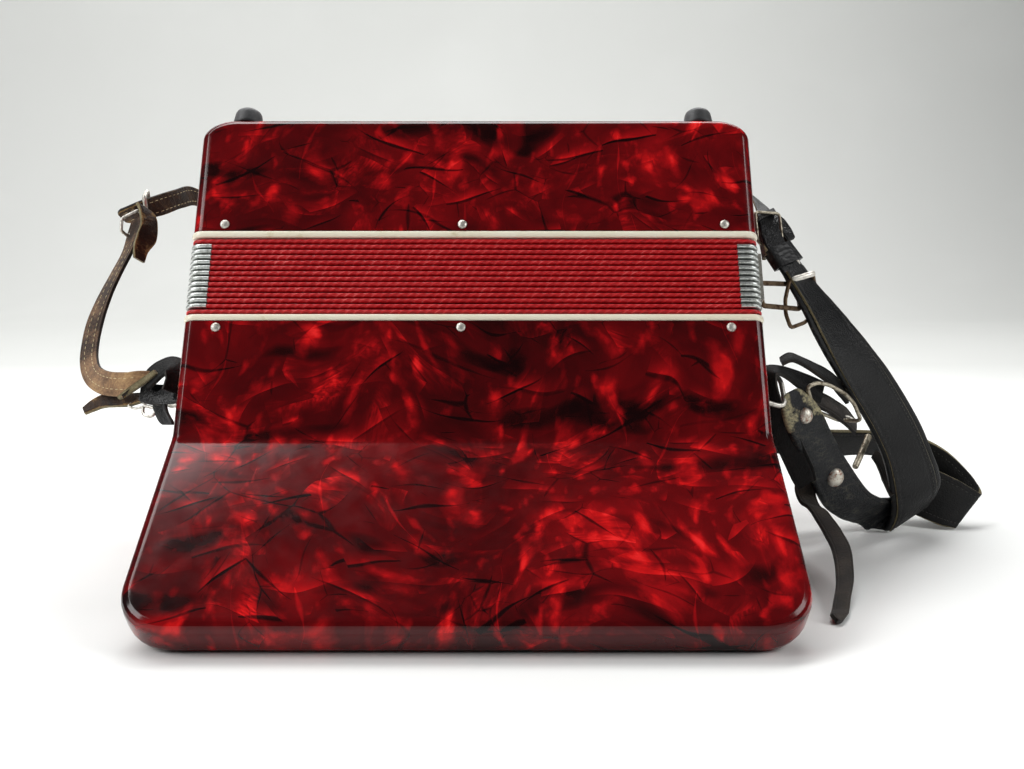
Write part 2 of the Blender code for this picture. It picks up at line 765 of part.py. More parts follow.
def build_bass_case(lean, look):
    bm = back_prism(bass_outline(), 0, DEPTH)
    near = 1e-5
    rim = [
        edge
        for edge in bm.edges
        if abs(edge.verts[0].co.y - edge.verts[1].co.y) < near
        and max(v.co.z for v in edge.verts) > bass_base() + GAP + near
    ]
    bmesh.ops.bevel(bm, geom=rim, offset=EDGE_ROUND, segments=EDGE_STEPS, profile=0.5, affect="EDGES")
    case = thing_from("bass_case", bm, look["celluloid"], lean)
    inner = WIDTH / 2 - WALL
    hollow = box(-inner, inner, WALL, DEPTH - WALL, bass_base() - WALL, bass_top() - WALL)
    boolean(case, thing_from("bass_hollow", hollow, None, lean), "DIFFERENCE")
    xs = [x for _, _, x, _ in button_places()]
    ys = [y for _, _, _, y in button_places()]
    edge = BUTTON_RADIUS + POCKET_MARGIN / 2
    pocket = flat_prism(
        rounded_rectangle(min(xs) - edge, max(xs) + edge, min(ys) - edge, max(ys) + edge, POCKET_MARGIN / 2),
        bass_top() - POCKET_DEPTH,
        bass_top() + POCKET_DEPTH,
    )
    boolean(case, thing_from("button_pocket", pocket, None, lean), "DIFFERENCE")
    holes = bmesh.new()
    for x, y, radius in [(x, y, BUTTON_RADIUS) for _, _, x, y in button_places()] + [(*air_place(), AIR_RADIUS)]:
        hole = rod((x, y, bass_top()), radius + GAP, 4 * WALL, "Z", 12)
        take_in(holes, hole)
    boolean(case, thing_from("button_holes", holes, None, lean), "DIFFERENCE")
    add_pins(case, bass_base() + PIN_FROM_EDGE + GAP, lean, "bass_pins")


def build_button(name, x, y, radius, proud, lean, look):
    """A button whose flange under the wall keeps it in, with a short stem below."""
    top = bass_top() + proud
    under = bass_top() - WALL - GAP
    flange = under - BUTTON_FLANGE
    profile = [
        (0, flange - 2 * radius),
        (radius / 2, flange - 2 * radius),
        (radius / 2, flange),
        (radius + BUTTON_FLANGE, flange),
        (radius + BUTTON_FLANGE, under),
        (radius, under),
        (radius, top - radius / 4),
        (radius * 0.8, top),
        (0, top),
    ]
    thing_from(name, turned(profile, (x, y, 0), "Z", 12), look["button"], lean, (x, y, top))


def build_buttons(lean, look):
    for row, column, x, y in button_places():
        build_button(f"bass_button_{row + 1}_{column + 1}", x, y, BUTTON_RADIUS, BUTTON_PROUD, lean, look)
    build_button("air_button", *air_place(), AIR_RADIUS, AIR_PROUD, lean, look)


def build_feet(lean, look):
    base = bass_top() + GAP
    sides = {"left": -1, "right": 1}
    for name, side in sides.items():
        for place, y in (("back", FOOT_INSET), ("front", DEPTH - FOOT_INSET)):
            profile = [
                (0, base),
                (FOOT_RADIUS, base),
                (FOOT_TOP_RADIUS, base + FOOT_HEIGHT - FOOT_DOME),
                (FOOT_TOP_RADIUS * 0.85, base + FOOT_HEIGHT - FOOT_DOME * 0.4),
                (FOOT_TOP_RADIUS * 0.55, base + FOOT_HEIGHT),
                (0, base + FOOT_HEIGHT),
            ]
            x = side * (WIDTH / 2 - FOOT_FROM_END[name])
            thing_from(f"foot_{place}_{name}", turned(profile, (x, y, 0), "Z", 16), look["rubber"], lean)


# Straps. A route is a list of (out, back, up, across, width): out is how far outside the casing's end, back and up
# are Y and Z, and the strap's section runs along across, slanted where the strap folds.


def smooth_between(a, b, c, d, t):
    """Catmull-Rom between b and c."""
    return 0.5 * (2 * b + (c - a) * t + (2 * a - 5 * b + 4 * c - d) * t * t + (3 * b - a - 3 * c + d) * t ** 3)


def smooth_route(route, steps):
    """Stations along a smooth curve through the route's points, as (center, across, width)."""
    found = []
    last = len(route) - 1
    for k in range(last):
        picks = [route[max(k - 1, 0)], route[k], route[k + 1], route[min(k + 2, last)]]
        for j in range(steps if k + 1 < last else steps + 1):
            t = j / steps
            center = smooth_between(*[pick[0] for pick in picks], t)
            across = smooth_between(*[pick[1] for pick in picks], t).normalized()
            width = picks[1][2] + (picks[2][2] - picks[1][2]) * t
            found.append((center, across, width))
    return found


def strap_mesh(stations, thickness, crown=0.0, floor=None):
    """A strap swept along stations, thicker in the middle by crown, each section lifted clear of the floor."""
    rings = []
    for k, (center, across, width) in enumerate(stations):
        ahead = stations[min(k + 1, len(stations) - 1)][0]
        behind = stations[max(k - 1, 0)][0]
        along = (ahead - behind).normalized()
        normal = along.cross(across).normalized()
        half = width / 2
        edge = thickness / 2
        middle = edge + crown / 2
        section = (
            (-half, -edge * 0.5),
            (-half * 0.8, -edge),
            (0, -middle),
            (half * 0.8, -edge),
            (half, -edge * 0.5),
            (half, edge * 0.5),
            (half * 0.8, edge),
            (0, middle),
            (-half * 0.8, edge),
            (-half, edge * 0.5),
        )
        ring = [center + across * a + normal * b for a, b in section]
        if floor is not None:
            lift = max(0.0, floor - min(point.z for point in ring))
            ring = [point + Vector((0, 0, lift)) for point in ring]
        rings.append(ring)
    return skin_rings(rings, False)


def to_world(x, y, z):
    """A point of the accordion's frame in the frame of "stand"."""
    lean = lean_angle()
    crease_y, crease_z = crease_over_floor()
    return Vector(
        (
            x,
            crease_y + y * math.cos(lean) + z * math.sin(lean),
            crease_z - y * math.sin(lean) + z * math.cos(lean),
        )
    )


def turn_to_world(direction):
    return (to_world(*direction) - to_world(0, 0, 0)).normalized()


def side_route(points, side, steps=3):
    """Stations of a strap beside the casing. Points are millimetres."""
    route = []
    for out, back, up, across, width in points:
        center = to_world(side * (WIDTH / 2 + out / 1000), back / 1000, up / 1000)
        route.append((center, turn_to_world((side * across[0], across[1], across[2])), width))
    return smooth_route(route, steps)


def shoulder_strap_points():
    narrow, wide = NARROW_STRAP, WIDE_STRAP
    return [
        (13, 62, 168, (0.36, 0.80, 0.48), narrow * 0.3),
        (14, 53, 158, (0.39, 0.76, 0.52), narrow * 0.8),
        (15, 43, 146, (0.52, 0.66, 0.54), narrow),
        (17, 37, 134, (0.70, 0.55, 0.46), narrow),
        (20, 34, 120, (0.62, 0.70, 0.35), narrow),
        (27, 35, 107, (0.62, 0.70, 0.35), narrow * 1.2),
        (33, 39, 98, (0.68, 0.62, 0.38), wide * 0.72),
        (42, 46, 89, (0.69, 0.50, 0.52), wide * 0.88),
        (51, 55, 81, (0.74, 0.44, 0.51), wide),
        (64, 67, 69, (0.86, 0.27, 0.43), wide),
        (80, 82, 54, (0.96, 0.09, 0.27), wide),
        (98, 100, 35, (0.99, 0.04, 0.14), wide),
        (109, 112, 17, (0.99, 0.05, 0.12), wide),
        (114, 120, 4, (0.95, -0.02, 0.32), wide * 1.05),
        (115, 125, -6, (0.86, -0.09, 0.50), wide * 1.15),
        (111, 131, -14, (0.84, -0.10, 0.53), wide * 1.15),
        (104, 135, -14, (0.85, -0.08, 0.52), wide * 1.15),
        (96, 131, -11, (0.87, -0.02, 0.49), wide * 1.10),
        (86, 124, -12, (0.90, 0.07, 0.43), wide),
        (76, 114, -12, (0.93, 0.13, 0.37), wide),
        (64, 102, -7, (0.92, 0.22, 0.36), wide),
        (46, 78, 11, (0.84, 0.44, 0.32), wide),
        (33, 60, 27, (0.79, 0.49, 0.37), wide * 0.95),
        (28.5, 54.5, 32, (0.79, 0.49, 0.37), wide * 0.5),
    ]


def back_strap_points():
    """Tongue at the left, the stretch round the far side of the bass end, and the end in the right buckle."""
    narrow = NARROW_STRAP
    half = WIDTH / 2 * 1000
    deep = DEPTH * 1000
    return [
        (76, 93, 168, (-0.20, 0.97, -0.10), narrow * 0.6),
        (73, 93, 169, (-0.20, 0.97, -0.10), narrow),
        (65, 92, 172, (-0.15, 0.97, -0.18), narrow),
        (56, 97, 178, (-0.27, 0.86, -0.44), narrow),
        (48, 112, 191, (-0.13, 0.89, -0.44), narrow),
        (44, 132, 203, (-0.17, 0.77, -0.61), narrow),
        (32, deep + 6, 203, (-0.10, 0.50, -0.86), narrow),
        (8, deep + 13, 190, (0.00, 0.20, -0.98), narrow),
        (-20, deep + 9, 178, (0.00, 0.05, -1.00), narrow),
        (-half * 0.5, deep + 6, 160, (0.00, 0.00, -1.00), narrow),
        (-half, deep + 5, 152, (0.00, 0.00, -1.00), narrow),
        (-half * 1.5, deep + 6, 158, (0.00, 0.00, -1.00), narrow),
        (-2 * half + 20, deep + 9, 172, (0.00, 0.05, -1.00), narrow),
        (-2 * half - 8, deep + 10, 180, (0.00, -0.20, -0.98), narrow),
        (-2 * half - 22, deep - 20, 182, (-0.20, -0.60, -0.77), narrow),
        (-2 * half - 21, 84, 166, (-0.36, -0.80, -0.48), narrow),
        (-2 * half - 20, 66, 152, (-0.50, -0.66, -0.54), narrow),
        (-2 * half - 20, 58, 144, (-0.60, -0.60, -0.50), narrow),
    ]


def left_strap_points():
    narrow = NARROW_STRAP
    return [
        (65.2, 91.2, 165.6, (-0.18, 0.97, -0.17), narrow),
        (66, 91, 157, (-0.12, 0.99, 0.05), narrow),
        (68, 93, 146, (0.05, 0.98, 0.17), narrow),
        (75, 96, 129, (0.43, 0.89, 0.14), narrow),
        (80, 95, 116, (0.50, 0.86, 0.13), narrow),
        (83, 93, 99, (0.64, 0.75, 0.14), narrow),
        (83, 90, 86, (0.55, 0.79, 0.26), narrow),
        (80, 84, 74, (0.53, 0.74, 0.41), narrow),
        (71, 74, 58, (0.26, 0.73, 0.64), narrow),
        (60, 65, 50, (0.20, 0.60, 0.77), narrow),
        (45, 56, 44, (0.30, 0.35, 0.88), narrow),
        (34, 50, 42, (0.25, 0.25, 0.93), narrow * 1.15),
        (30, 48.8, 41, (0.10, 0.28, 0.95), narrow * 0.6),
        (20, 48.1, 40.2, (0.00, 0.29, 0.96), narrow * 0.55),
        (14, 48.3, 40, (0.00, 0.29, 0.96), narrow * 0.5),
    ]


def tail_points():
    slim = NARROW_STRAP * 0.85
    return [
        (22, 59.0, 33.9, (0.84, 0.44, 0.32), slim * 0.8),
        (26.5, 64.9, 27, (0.84, 0.44, 0.32), slim),
        (37.8, 78.6, 11, (0.84, 0.44, 0.32), slim),
        (38.6, 89.4, -2.2, (0.92, 0.25, 0.30), slim),
        (39.8, 93.2, -9.4, (0.97, 0.20, -0.10), slim),
        (41, 90, -15.8, (0.95, 0.20, -0.20), slim),
        (43, 82, -21, (0.94, 0.25, -0.20), slim),
        (44, 63, -36, (0.91, 0.35, 0.00), slim),
        (43, 47, -49, (0.90, 0.42, 0.10), slim),
        (37, 27, -66, (0.85, 0.50, 0.12), slim),
        (29, 10, -79, (0.82, 0.55, 0.14), slim),
        (24, 0, -88, (0.83, 0.55, 0.05), slim),
        (22, -6, -92, (0.83, 0.55, 0.05), slim * 0.25),
    ]


def second_strap_points():
    wide = WIDE_STRAP
    return [
        (2.1, 97, 50, (0.00, 1.00, -0.02), wide * 0.6),
        (2.1, 99, 42, (0.00, 0.99, -0.10), wide * 0.8),
        (5, 101, 34.5, (0.10, 0.97, -0.20), wide * 0.9),
        (14, 104.5, 30.5, (0.18, 0.95, -0.25), wide),
        (31, 111, 28, (0.21, 0.94, -0.25), wide),
        (60, 122, 29, (0.24, 0.93, -0.27), wide),
        (96, 137, 33, (0.28, 0.93, -0.24), wide),
        (124, 146, 30, (0.15, 0.91, -0.37), wide),
        (141, 150, 20, (0.00, 0.83, -0.55), wide),
        (152, 147, 8, (-0.15, 0.72, -0.67), wide),
        (155, 140, 0, (-0.15, 0.60, -0.78), wide),
        (150, 134, -5, (-0.10, 0.52, -0.85), wide),
        (140, 134, -5, (0.00, 0.52, -0.85), wide),
        (127, 138, -1, (0.00, 0.56, -0.82), wide),
        (112, 141, 4, (0.05, 0.60, -0.78), wide),
        (102, 142, 10, (0.10, 0.65, -0.75), wide * 0.8),
    ]


def wire_loop(name, corners, radius, corner_radius, parent, look, pivot=(0, 0, 0)):
    """A bent wire closed on itself: a curve through corners, each rounded."""
    points = []
    count = len(corners)
    for k, corner in enumerate(corners):
        before = (corners[k - 1] - corner).normalized() * corner_radius
        after = (corners[(k + 1) % count] - corner).normalized() * corner_radius
        for t in (0.0, 0.5, 1.0):
            points.append(corner + before * (1 - t) ** 2 + after * t ** 2)
    curve = bpy.data.curves.new(name, "CURVE")
    curve.dimensions = "3D"
    curve.bevel_depth = radius
    curve.bevel_resolution = 1
    curve.render_resolution_u = 0
    spline = curve.splines.new("POLY")
    spline.points.add(len(points) - 1)
    for place, point in zip(spline.points, points):
        place.co = (*(point - Vector(pivot)), 1.0)
    spline.use_cyclic_u = True
    curve.materials.append(look)
    thing = bpy.data.objects.new(name, curve)
    bpy.context.scene.collection.objects.link(thing)
    thing.parent = parent
    thing.location = pivot
    return thing


def frame_about(station, ahead, reach_side, reach_along, tilt):
    """Corners of a wire frame about a strap: one bar in front of the strap, the other behind it."""
    center, across, _ = station
    along = (ahead[0] - center).normalized()
    side = (across - along * across.dot(along)).normalized()
    normal = along.cross(side)
    corners = []
    for a, b in ((-1, -1), (1, -1), (1, 1), (-1, 1)):
        corners.append(center + side * a * reach_side + along * b * reach_along + normal * b * tilt)
    return corners


def build_straps(stand, lean, look):
    black = look["black_leather"]
    brown = look["brown_leather"]
    steel = look["steel"]
    thin = LEATHER * 0.8
    pad = side_route(shoulder_strap_points(), 1)
    back = side_route(back_strap_points(), -1)
    left = side_route(left_strap_points(), -1)
    tail = side_route(tail_points(), 1)
    second = side_route(second_strap_points(), 1)
    crown = PAD_THICKNESS - LEATHER
    thing_from("shoulder_strap", strap_mesh(pad, LEATHER, crown, FLOOR_CLEAR), black, stand)
    thing_from("back_strap", strap_mesh(back, thin, 0, FLOOR_CLEAR), brown, stand)
    thing_from("left_strap", strap_mesh(left, thin, 0, FLOOR_CLEAR), brown, stand)
    thing_from("strap_tail", strap_mesh(tail, thin, 0, FLOOR_CLEAR), black, stand)
    thing_from("second_strap", strap_mesh(second, LEATHER, 0, FLOOR_CLEAR), black, stand)

    reach = NARROW_STRAP / 2 + 2.5 * WIRE
    snug = thin / 2 + WIRE + 4 * GAP
    wire_loop("left_buckle", frame_about(back[6], back[7], reach, 2 * WIRE, snug), WIRE, WIRE, stand, steel)
    snug = PAD_THICKNESS / 2 + WIRE + 2 * GAP
    wire_loop("right_buckle", frame_about(pad[9], pad[10], reach, 2 * WIRE, snug), WIRE, WIRE, stand, steel)
    wide_reach = pad[15][2] / 2 + 3 * WIRE
    wire_loop("strap_ring", frame_about(pad[15], pad[16], wide_reach, 3 * WIRE, snug), WIRE, 2 * WIRE, stand, steel)


def build_strap_fittings(lean, look):
    """The plate beside the bellows with its wire bail, and the ring on each end of the treble case."""
    steel = look["steel"]
    half = WIDTH / 2
    near = half + TRIM_PROUD + GAP
    plate = side_prism(BAIL_PLATE_OUTLINE, near, near + BAIL_PLATE)
    thing_from("bail_plate", plate, steel, lean)
    x = near + BAIL_PLATE + RING_WIRE + GAP
    corners = [Vector((x + out, y, z)) for out, y, z in BAIL_CORNERS]
    wire_loop("wire_bail", corners, RING_WIRE, BAIL_ROUND, lean, steel, (x, *BAIL_HINGE))
    for name, side in (("left_ring", -1), ("right_ring", 1)):
        x = side * (half + RING_WIRE + 2 * GAP)
        corners = [Vector((x + side * out, y, z)) for out, y, z in RING_CORNERS]
        wire_loop(name, corners, RING_WIRE, RING_ROUND, lean, steel, (x, *RING_HINGE))


def build_hand_strap(lean, look):
    """A leather strap arched over the bass end, its flat ends lying on the wall."""
    base = bass_top() + GAP + LEATHER / 2
    reach = WIDTH / 2 - HAND_STRAP_FROM_END
    rise = HAND_STRAP_RISE
    y = DEPTH - HAND_STRAP_FROM_FRONT
    wide = HAND_STRAP_WIDTH
    outline = [
        (-1.00, 0.0, 0.62),
        (-0.95, 0.0, 0.66),
        (-0.90, 0.0, 0.70),
        (-0.80, 0.18, 0.80),
        (-0.60, 0.60, 0.93),
        (-0.30, 0.92, 1.0),
        (0.0, 1.0, 1.0),
        (0.30, 0.92, 1.0),
        (0.60, 0.60, 0.93),
        (0.80, 0.18, 0.80),
        (0.90, 0.0, 0.70),
        (0.95, 0.0, 0.66),
        (1.00, 0.0, 0.62),
    ]
    route = [(Vector((a * reach, y, base + b * rise)), Vector((0, 1, 0)), c * wide) for a, b, c in outline]
    stations = [
        (Vector((center.x, center.y, max(center.z, base))), across, width)
        for center, across, width in smooth_route(route, 2)
    ]
    thing_from("hand_strap", strap_mesh(stations, LEATHER), look["black_leather"], lean)


def looks():
    return {
        "celluloid": material("red_pearl_celluloid", (0.23, 0.004, 0.008), 0.12),
        "grille": material("grille_celluloid", (0.23, 0.004, 0.008), 0.15),
        "cloth": material("grille_cloth", (0.55, 0.48, 0.33), 0.9),
        "wood": material("spruce", (0.52, 0.35, 0.18), 0.6),
        "white_key": material("white_key_celluloid", (0.82, 0.80, 0.73), 0.2),
        "black_key": material("black_key_celluloid", (0.015, 0.015, 0.017), 0.2),
        "ivory": material("ivory_strip", (0.77, 0.74, 0.62), 0.35),
        "bellows": material("bellows_tape", (0.45, 0.02, 0.04), 0.5),
        "button": material("button_plastic", (0.80, 0.78, 0.72), 0.25),
        "rubber": material("black_rubber", (0.02, 0.02, 0.02), 0.7),
        "steel": material("nickel_wire", (0.62, 0.62, 0.60), 0.25, 1.0),
        "black_leather": material("black_leather", (0.018, 0.016, 0.015), 0.45),
        "brown_leather": material("brown_leather", (0.10, 0.05, 0.03), 0.7),
    }


def bounds():
    """Corners of the box round every solid, in the world."""
    bpy.context.view_layer.update()
    graph = bpy.context.evaluated_depsgraph_get()
    low = Vector((math.inf,) * 3)
    high = -low
    for thing in bpy.data.objects:
        if thing.type == "EMPTY" or thing.hide_render:
            continue
        solid = thing.evaluated_get(graph)
        mesh = solid.to_mesh()
        for v in mesh.vertices:
            place = thing.matrix_world @ v.co
            low = Vector(map(min, low, place))
            high = Vector(map(max, high, place))
        solid.to_mesh_clear()
    return low, high


def main():
    clear_scene()
    look = looks()
    stand = empty("stand")
    lean = empty("lean", stand)
    crease_y, crease_z = crease_over_floor()
    lean.location = (0, crease_y, crease_z)
    lean.rotation_euler = (-lean_angle(), 0, 0)

    build_treble_case(lean, look)
    build_grille(lean, look)
    plan = key_plan()
    ports = [
        (white_x(k) + (WHITE_PITCH / 2 if black else 0), BLACK_PALLET_Y if black else WHITE_PALLET_Y)
        for _, k, black in plan
    ]
    build_board("treble_board", board_top() - BOARD_THICKNESS, ports, lean, look)
    build_reeds("treble_reeds", TREBLE_REEDS, board_top() + GAP, 1, lean, look)
    axle = rod((0, *pivot_yz()), AXLE_RADIUS, 2 * (WIDTH / 2 - WALL + AXLE_SEAT - GAP), "X")
    thing_from("key_axle", axle, look["steel"], lean)
    build_keys(lean, look)

    build_trim("treble_trim", TREBLE_HEIGHT, lean, look)
    build_bellows(lean, look)
    build_trim("bass_trim", bass_base() - TRIM_HEIGHT, lean, look)
    build_bass_case(lean, look)
    bass_board = bass_base() + BASS_BOARD_SINK
    bass_ports = [
        ((k - (BUTTON_COLUMNS * 2 - 1) / 2) * BUTTON_PITCH, DEPTH / 2 + side * BASS_PORT_Y)
        for side in (-1, 1)
        for k in range(BUTTON_COLUMNS * 2)
    ]
    build_board("bass_board", bass_board, bass_ports, lean, look)
    build_reeds("bass_reeds", BASS_REEDS, bass_board - GAP, -1, lean, look)
    build_buttons(lean, look)
    build_feet(lean, look)
    build_hand_strap(lean, look)

    build_strap_fittings(lean, look)
    build_straps(stand, lean, look)

    low, high = bounds()
    stand.location = (-(low.x + high.x) / 2, -(low.y + high.y) / 2, -low.z)
    bpy.context.view_layer.update()


main()
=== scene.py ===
import math

import bmesh
import bpy
from mathutils import Matrix, Vector, noise


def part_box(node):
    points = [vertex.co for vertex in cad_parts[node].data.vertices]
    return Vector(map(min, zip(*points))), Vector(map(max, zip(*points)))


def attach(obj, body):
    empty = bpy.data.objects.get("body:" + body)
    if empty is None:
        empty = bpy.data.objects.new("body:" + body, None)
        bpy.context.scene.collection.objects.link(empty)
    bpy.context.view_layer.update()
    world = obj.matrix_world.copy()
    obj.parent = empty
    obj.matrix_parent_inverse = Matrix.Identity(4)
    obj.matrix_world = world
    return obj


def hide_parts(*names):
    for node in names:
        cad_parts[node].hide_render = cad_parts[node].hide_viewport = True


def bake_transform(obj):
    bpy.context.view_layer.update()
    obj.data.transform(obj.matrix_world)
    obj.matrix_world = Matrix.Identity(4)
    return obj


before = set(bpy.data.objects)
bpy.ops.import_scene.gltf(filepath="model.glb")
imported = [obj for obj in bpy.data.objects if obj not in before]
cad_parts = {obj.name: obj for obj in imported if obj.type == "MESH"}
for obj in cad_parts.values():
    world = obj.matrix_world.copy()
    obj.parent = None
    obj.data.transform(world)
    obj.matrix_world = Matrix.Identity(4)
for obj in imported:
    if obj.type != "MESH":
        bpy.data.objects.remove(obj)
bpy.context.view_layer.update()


# Where the accordion stands
# It is tipped back until the edge of its keyboard and the corner of its grille both rest on the floor. The
# steel axle of the keys has a known place in the accordion, so it says where the rest is in the packed
# model.

LEAN = math.radians(25.6141)
AXLE = Vector((0, 0.016183, -0.011062))
tipped = Matrix.Rotation(-LEAN, 3, "X")
crease = sum(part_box("key_axle"), Vector()) / 2 - tipped @ AXLE


def at(x, y, z):
    """World place of a point in millimetres: x along the keys, y to the grille, z to the bass."""
    return crease + tipped @ Vector((x, y, z)) / 1000


def turned_to(x, y, z):
    """World direction of a direction in the accordion."""
    return (tipped @ Vector((x, y, z))).normalized()


# Camera, floor and light
# The camera looks at the player's side of the accordion. Floor and wall are one pale matt paper sweep. Soft
# boxes light the accordion from above and from both sides, and one more lights the wall.

CAMERA_PLACE = Vector((0.0198, -0.512629, 0.099171))
CAMERA_TILT = math.radians(82)
LENS = 36.91
SWEEP_FRONT = 2.2
SWEEP_WALL = 2.4
SWEEP_HEIGHT = 2.2
SWEEP_ROUND = 0.8
SWEEP_HALF = 2.6
FILL_LIGHT = 0.07
LIGHTS = {
    "light_left": ((-1.2, -0.55, 0.85), (0, 0, 0.1), (0.55, 0.9), 11),
    "light_right": ((1.2, -0.50, 0.85), (0, 0, 0.1), (0.55, 0.9), 9),
    "light_back": ((-0.25, 0.50, 1.5), (-0.10, 0.20, 0), (2.6, 0.45), 25),
    "light_wall": ((-0.80, 1.60, 1.9), (-0.80, 2.10, 0), (3.6, 0.5), 34),
}


def linear(code):
    """Linear colour of an sRGB hex code."""
    parts = [int(code[k:k + 2], 16) / 255 for k in (1, 3, 5)]
    return (*[c / 12.92 if c <= 0.04045 else ((c + 0.055) / 1.055) ** 2.4 for c in parts], 1.0)


def new_look(name, color, roughness, metallic=0.0, **more):
    """A material, with the values that are the same all over on its shader's own sockets."""
    look = bpy.data.materials.new(name)
    look.use_nodes = True
    sockets = look.node_tree.nodes["Principled BSDF"].inputs
    sockets["Base Color"].default_value = linear(color)
    sockets["Roughness"].default_value = roughness
    sockets["Metallic"].default_value = metallic
    for socket, value in more.items():
        sockets[socket.replace("_", " ")].default_value = value
    return look


def add(look, kind, inputs=(), stops=(), **settings):
    """Adds a node. inputs are values, outputs or nodes, and stops a ramp's places and colours."""
    made = look.node_tree.nodes.new("ShaderNode" + kind)
    for name, value in settings.items():
        setattr(made, name, value)
    for name, value in inputs.items() if isinstance(inputs, dict) else enumerate(inputs):
        if isinstance(value, bpy.types.Node):
            value = value.outputs[0]
        if isinstance(value, bpy.types.NodeSocket):
            look.node_tree.links.new(value, made.inputs[name])
        else:
            made.inputs[name].default_value = value
    if stops:
        elements = made.color_ramp.elements
        elements[0].position, elements[1].position = stops[0][0], stops[-1][0]
        for place, _ in stops[1:-1]:
            elements.new(place)
        for element, (_, code) in zip(elements, stops):
            element.color = linear(code)
    return made


def join(look, **outputs):
    """Leads outputs, or the first outputs of nodes, to the sockets of the material's shader."""
    sockets = look.node_tree.nodes["Principled BSDF"].inputs
    for socket, output in outputs.items():
        output = output.outputs[0] if isinstance(output, bpy.types.Node) else output
        look.node_tree.links.new(output, sockets[socket.replace("_", " ")])


def piece(name, bm, looks, body=None, replaces=(), sharp=35):
    """Object of a finished mesh, smooth but for sharp edges, riding on its body."""
    bmesh.ops.recalc_face_normals(bm, faces=bm.faces)
    mesh = bpy.data.meshes.new(name)
    bm.to_mesh(mesh)
    bm.free()
    for look in looks:
        mesh.materials.append(look)
    mesh.shade_smooth()
    mesh.set_sharp_from_angle(angle=math.radians(sharp))
    made = bpy.data.objects.new(name, mesh)
    bpy.context.scene.collection.objects.link(made)
    if body:
        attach(made, body)
    if replaces:
        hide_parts(*replaces)
    return made


camera_data = bpy.data.cameras.new("camera")
camera_data.sensor_width = 36
camera_data.lens = LENS
camera = bpy.data.objects.new("camera", camera_data)
camera.location = crease + CAMERA_PLACE
camera.rotation_euler = (CAMERA_TILT, 0, 0)
bpy.context.scene.collection.objects.link(camera)
bpy.context.scene.camera = camera

sweep = bmesh.new()
bmesh.ops.create_grid(sweep, x_segments=1, y_segments=2, size=1)
for v in sweep.verts:
    v.co.x *= SWEEP_HALF
    if v.co.y < -0.5:
        v.co.y = -SWEEP_FRONT
    elif v.co.y < 0.5:
        v.co.y = SWEEP_WALL
    else:
        v.co.y = SWEEP_WALL
        v.co.z = SWEEP_HEIGHT
bend = [e for e in sweep.edges if all(abs(v.co.y - SWEEP_WALL) < 1e-4 and v.co.z < 1e-4 for v in e.verts)]
bmesh.ops.bevel(sweep, geom=bend, offset=SWEEP_ROUND, segments=24, profile=0.5, affect="EDGES", material=-1)

# Paper: matt, faintly uneven in tone, palest in front and greyer towards the wall, the grey being painted
# shade where less light falls.
paper = new_look("pale_paper_sweep", "#F2F3F1", 0.9)
paper_spot = add(paper, "TexCoord").outputs["Object"]
paper_place = add(paper, "SeparateXYZ", (paper_spot,))
# Painted shade: the paper turns greyer with distance towards the wall.
paper_painted_falloff = add(paper, "MapRange", (paper_place.outputs[1], 0.45, 0.90, 0.7, 0.2))
paper_tone = add(paper, "TexNoise", {"Vector": paper_spot, "Scale": 3.0, "Detail": 2.0})
paper_fac = add(paper, "Math", (paper_tone, 0.2, paper_painted_falloff), operation="MULTIPLY_ADD")
paper_color = add(paper, "ValToRGB", (paper_fac,), [(0.3, "#DCDDDA"), (0.75, "#F8F9F7")])
join(paper, Base_Color=paper_color)
floor = piece("floor", sweep, [paper])

for name, (place, aim, size, power) in LIGHTS.items():
    data = bpy.data.lights.new(name, "AREA")
    data.shape = "RECTANGLE"
    data.size, data.size_y = size
    data.energy = power
    soft_box = bpy.data.objects.new(name, data)
    soft_box.location = place
    soft_box.rotation_mode = "QUATERNION"
    soft_box.rotation_quaternion = (Vector(aim) - Vector(place)).to_track_quat("-Z", "Y")
    bpy.context.scene.collection.objects.link(soft_box)
world = bpy.data.worlds.new("studio")
world.use_nodes = True
world.node_tree.nodes["Background"].inputs["Color"].default_value = linear("#DDE2E6")
world.node_tree.nodes["Background"].inputs["Strength"].default_value = FILL_LIGHT
bpy.context.scene.world = world
bpy.context.scene.view_settings.view_transform = "Standard"


# Casings of the treble and bass sides
# Thin sheets of red pearl celluloid, glued over wooden boxes and polished. The back bends into the keyboard
# wing. The same sheet covers the grille.

PEARL_CHIP = 0.030
PEARL_HAIR = 0.0014
PEARL_BEND = 0.030
PEARL_FACING = turned_to(0, -1, 0.25)
PEARL_UP = turned_to(0, 0.25, 1)
PEARL_STREAKS = [
    (0.037, 1.15, 0.9, 0.0009, 0.009, 0.0, 0.20),
    (0.040, -0.45, 0.9, 0.0011, 0.022, -0.34, 0.34),
    (0.029, -0.70, 1.4, 0.0008, 0.014, -0.26, 0.34),
    (0.021, -1.20, 2.4, 0.0005, 0.008, -0.16, 0.26),
]
PEARL_FIRES = [(22.0, 0.58, 0.74, 0.10), (48.0, 0.58, 0.72, 0.27), (95.0, 0.60, 0.76, 0.26)]
ROUNDING = 0.0007


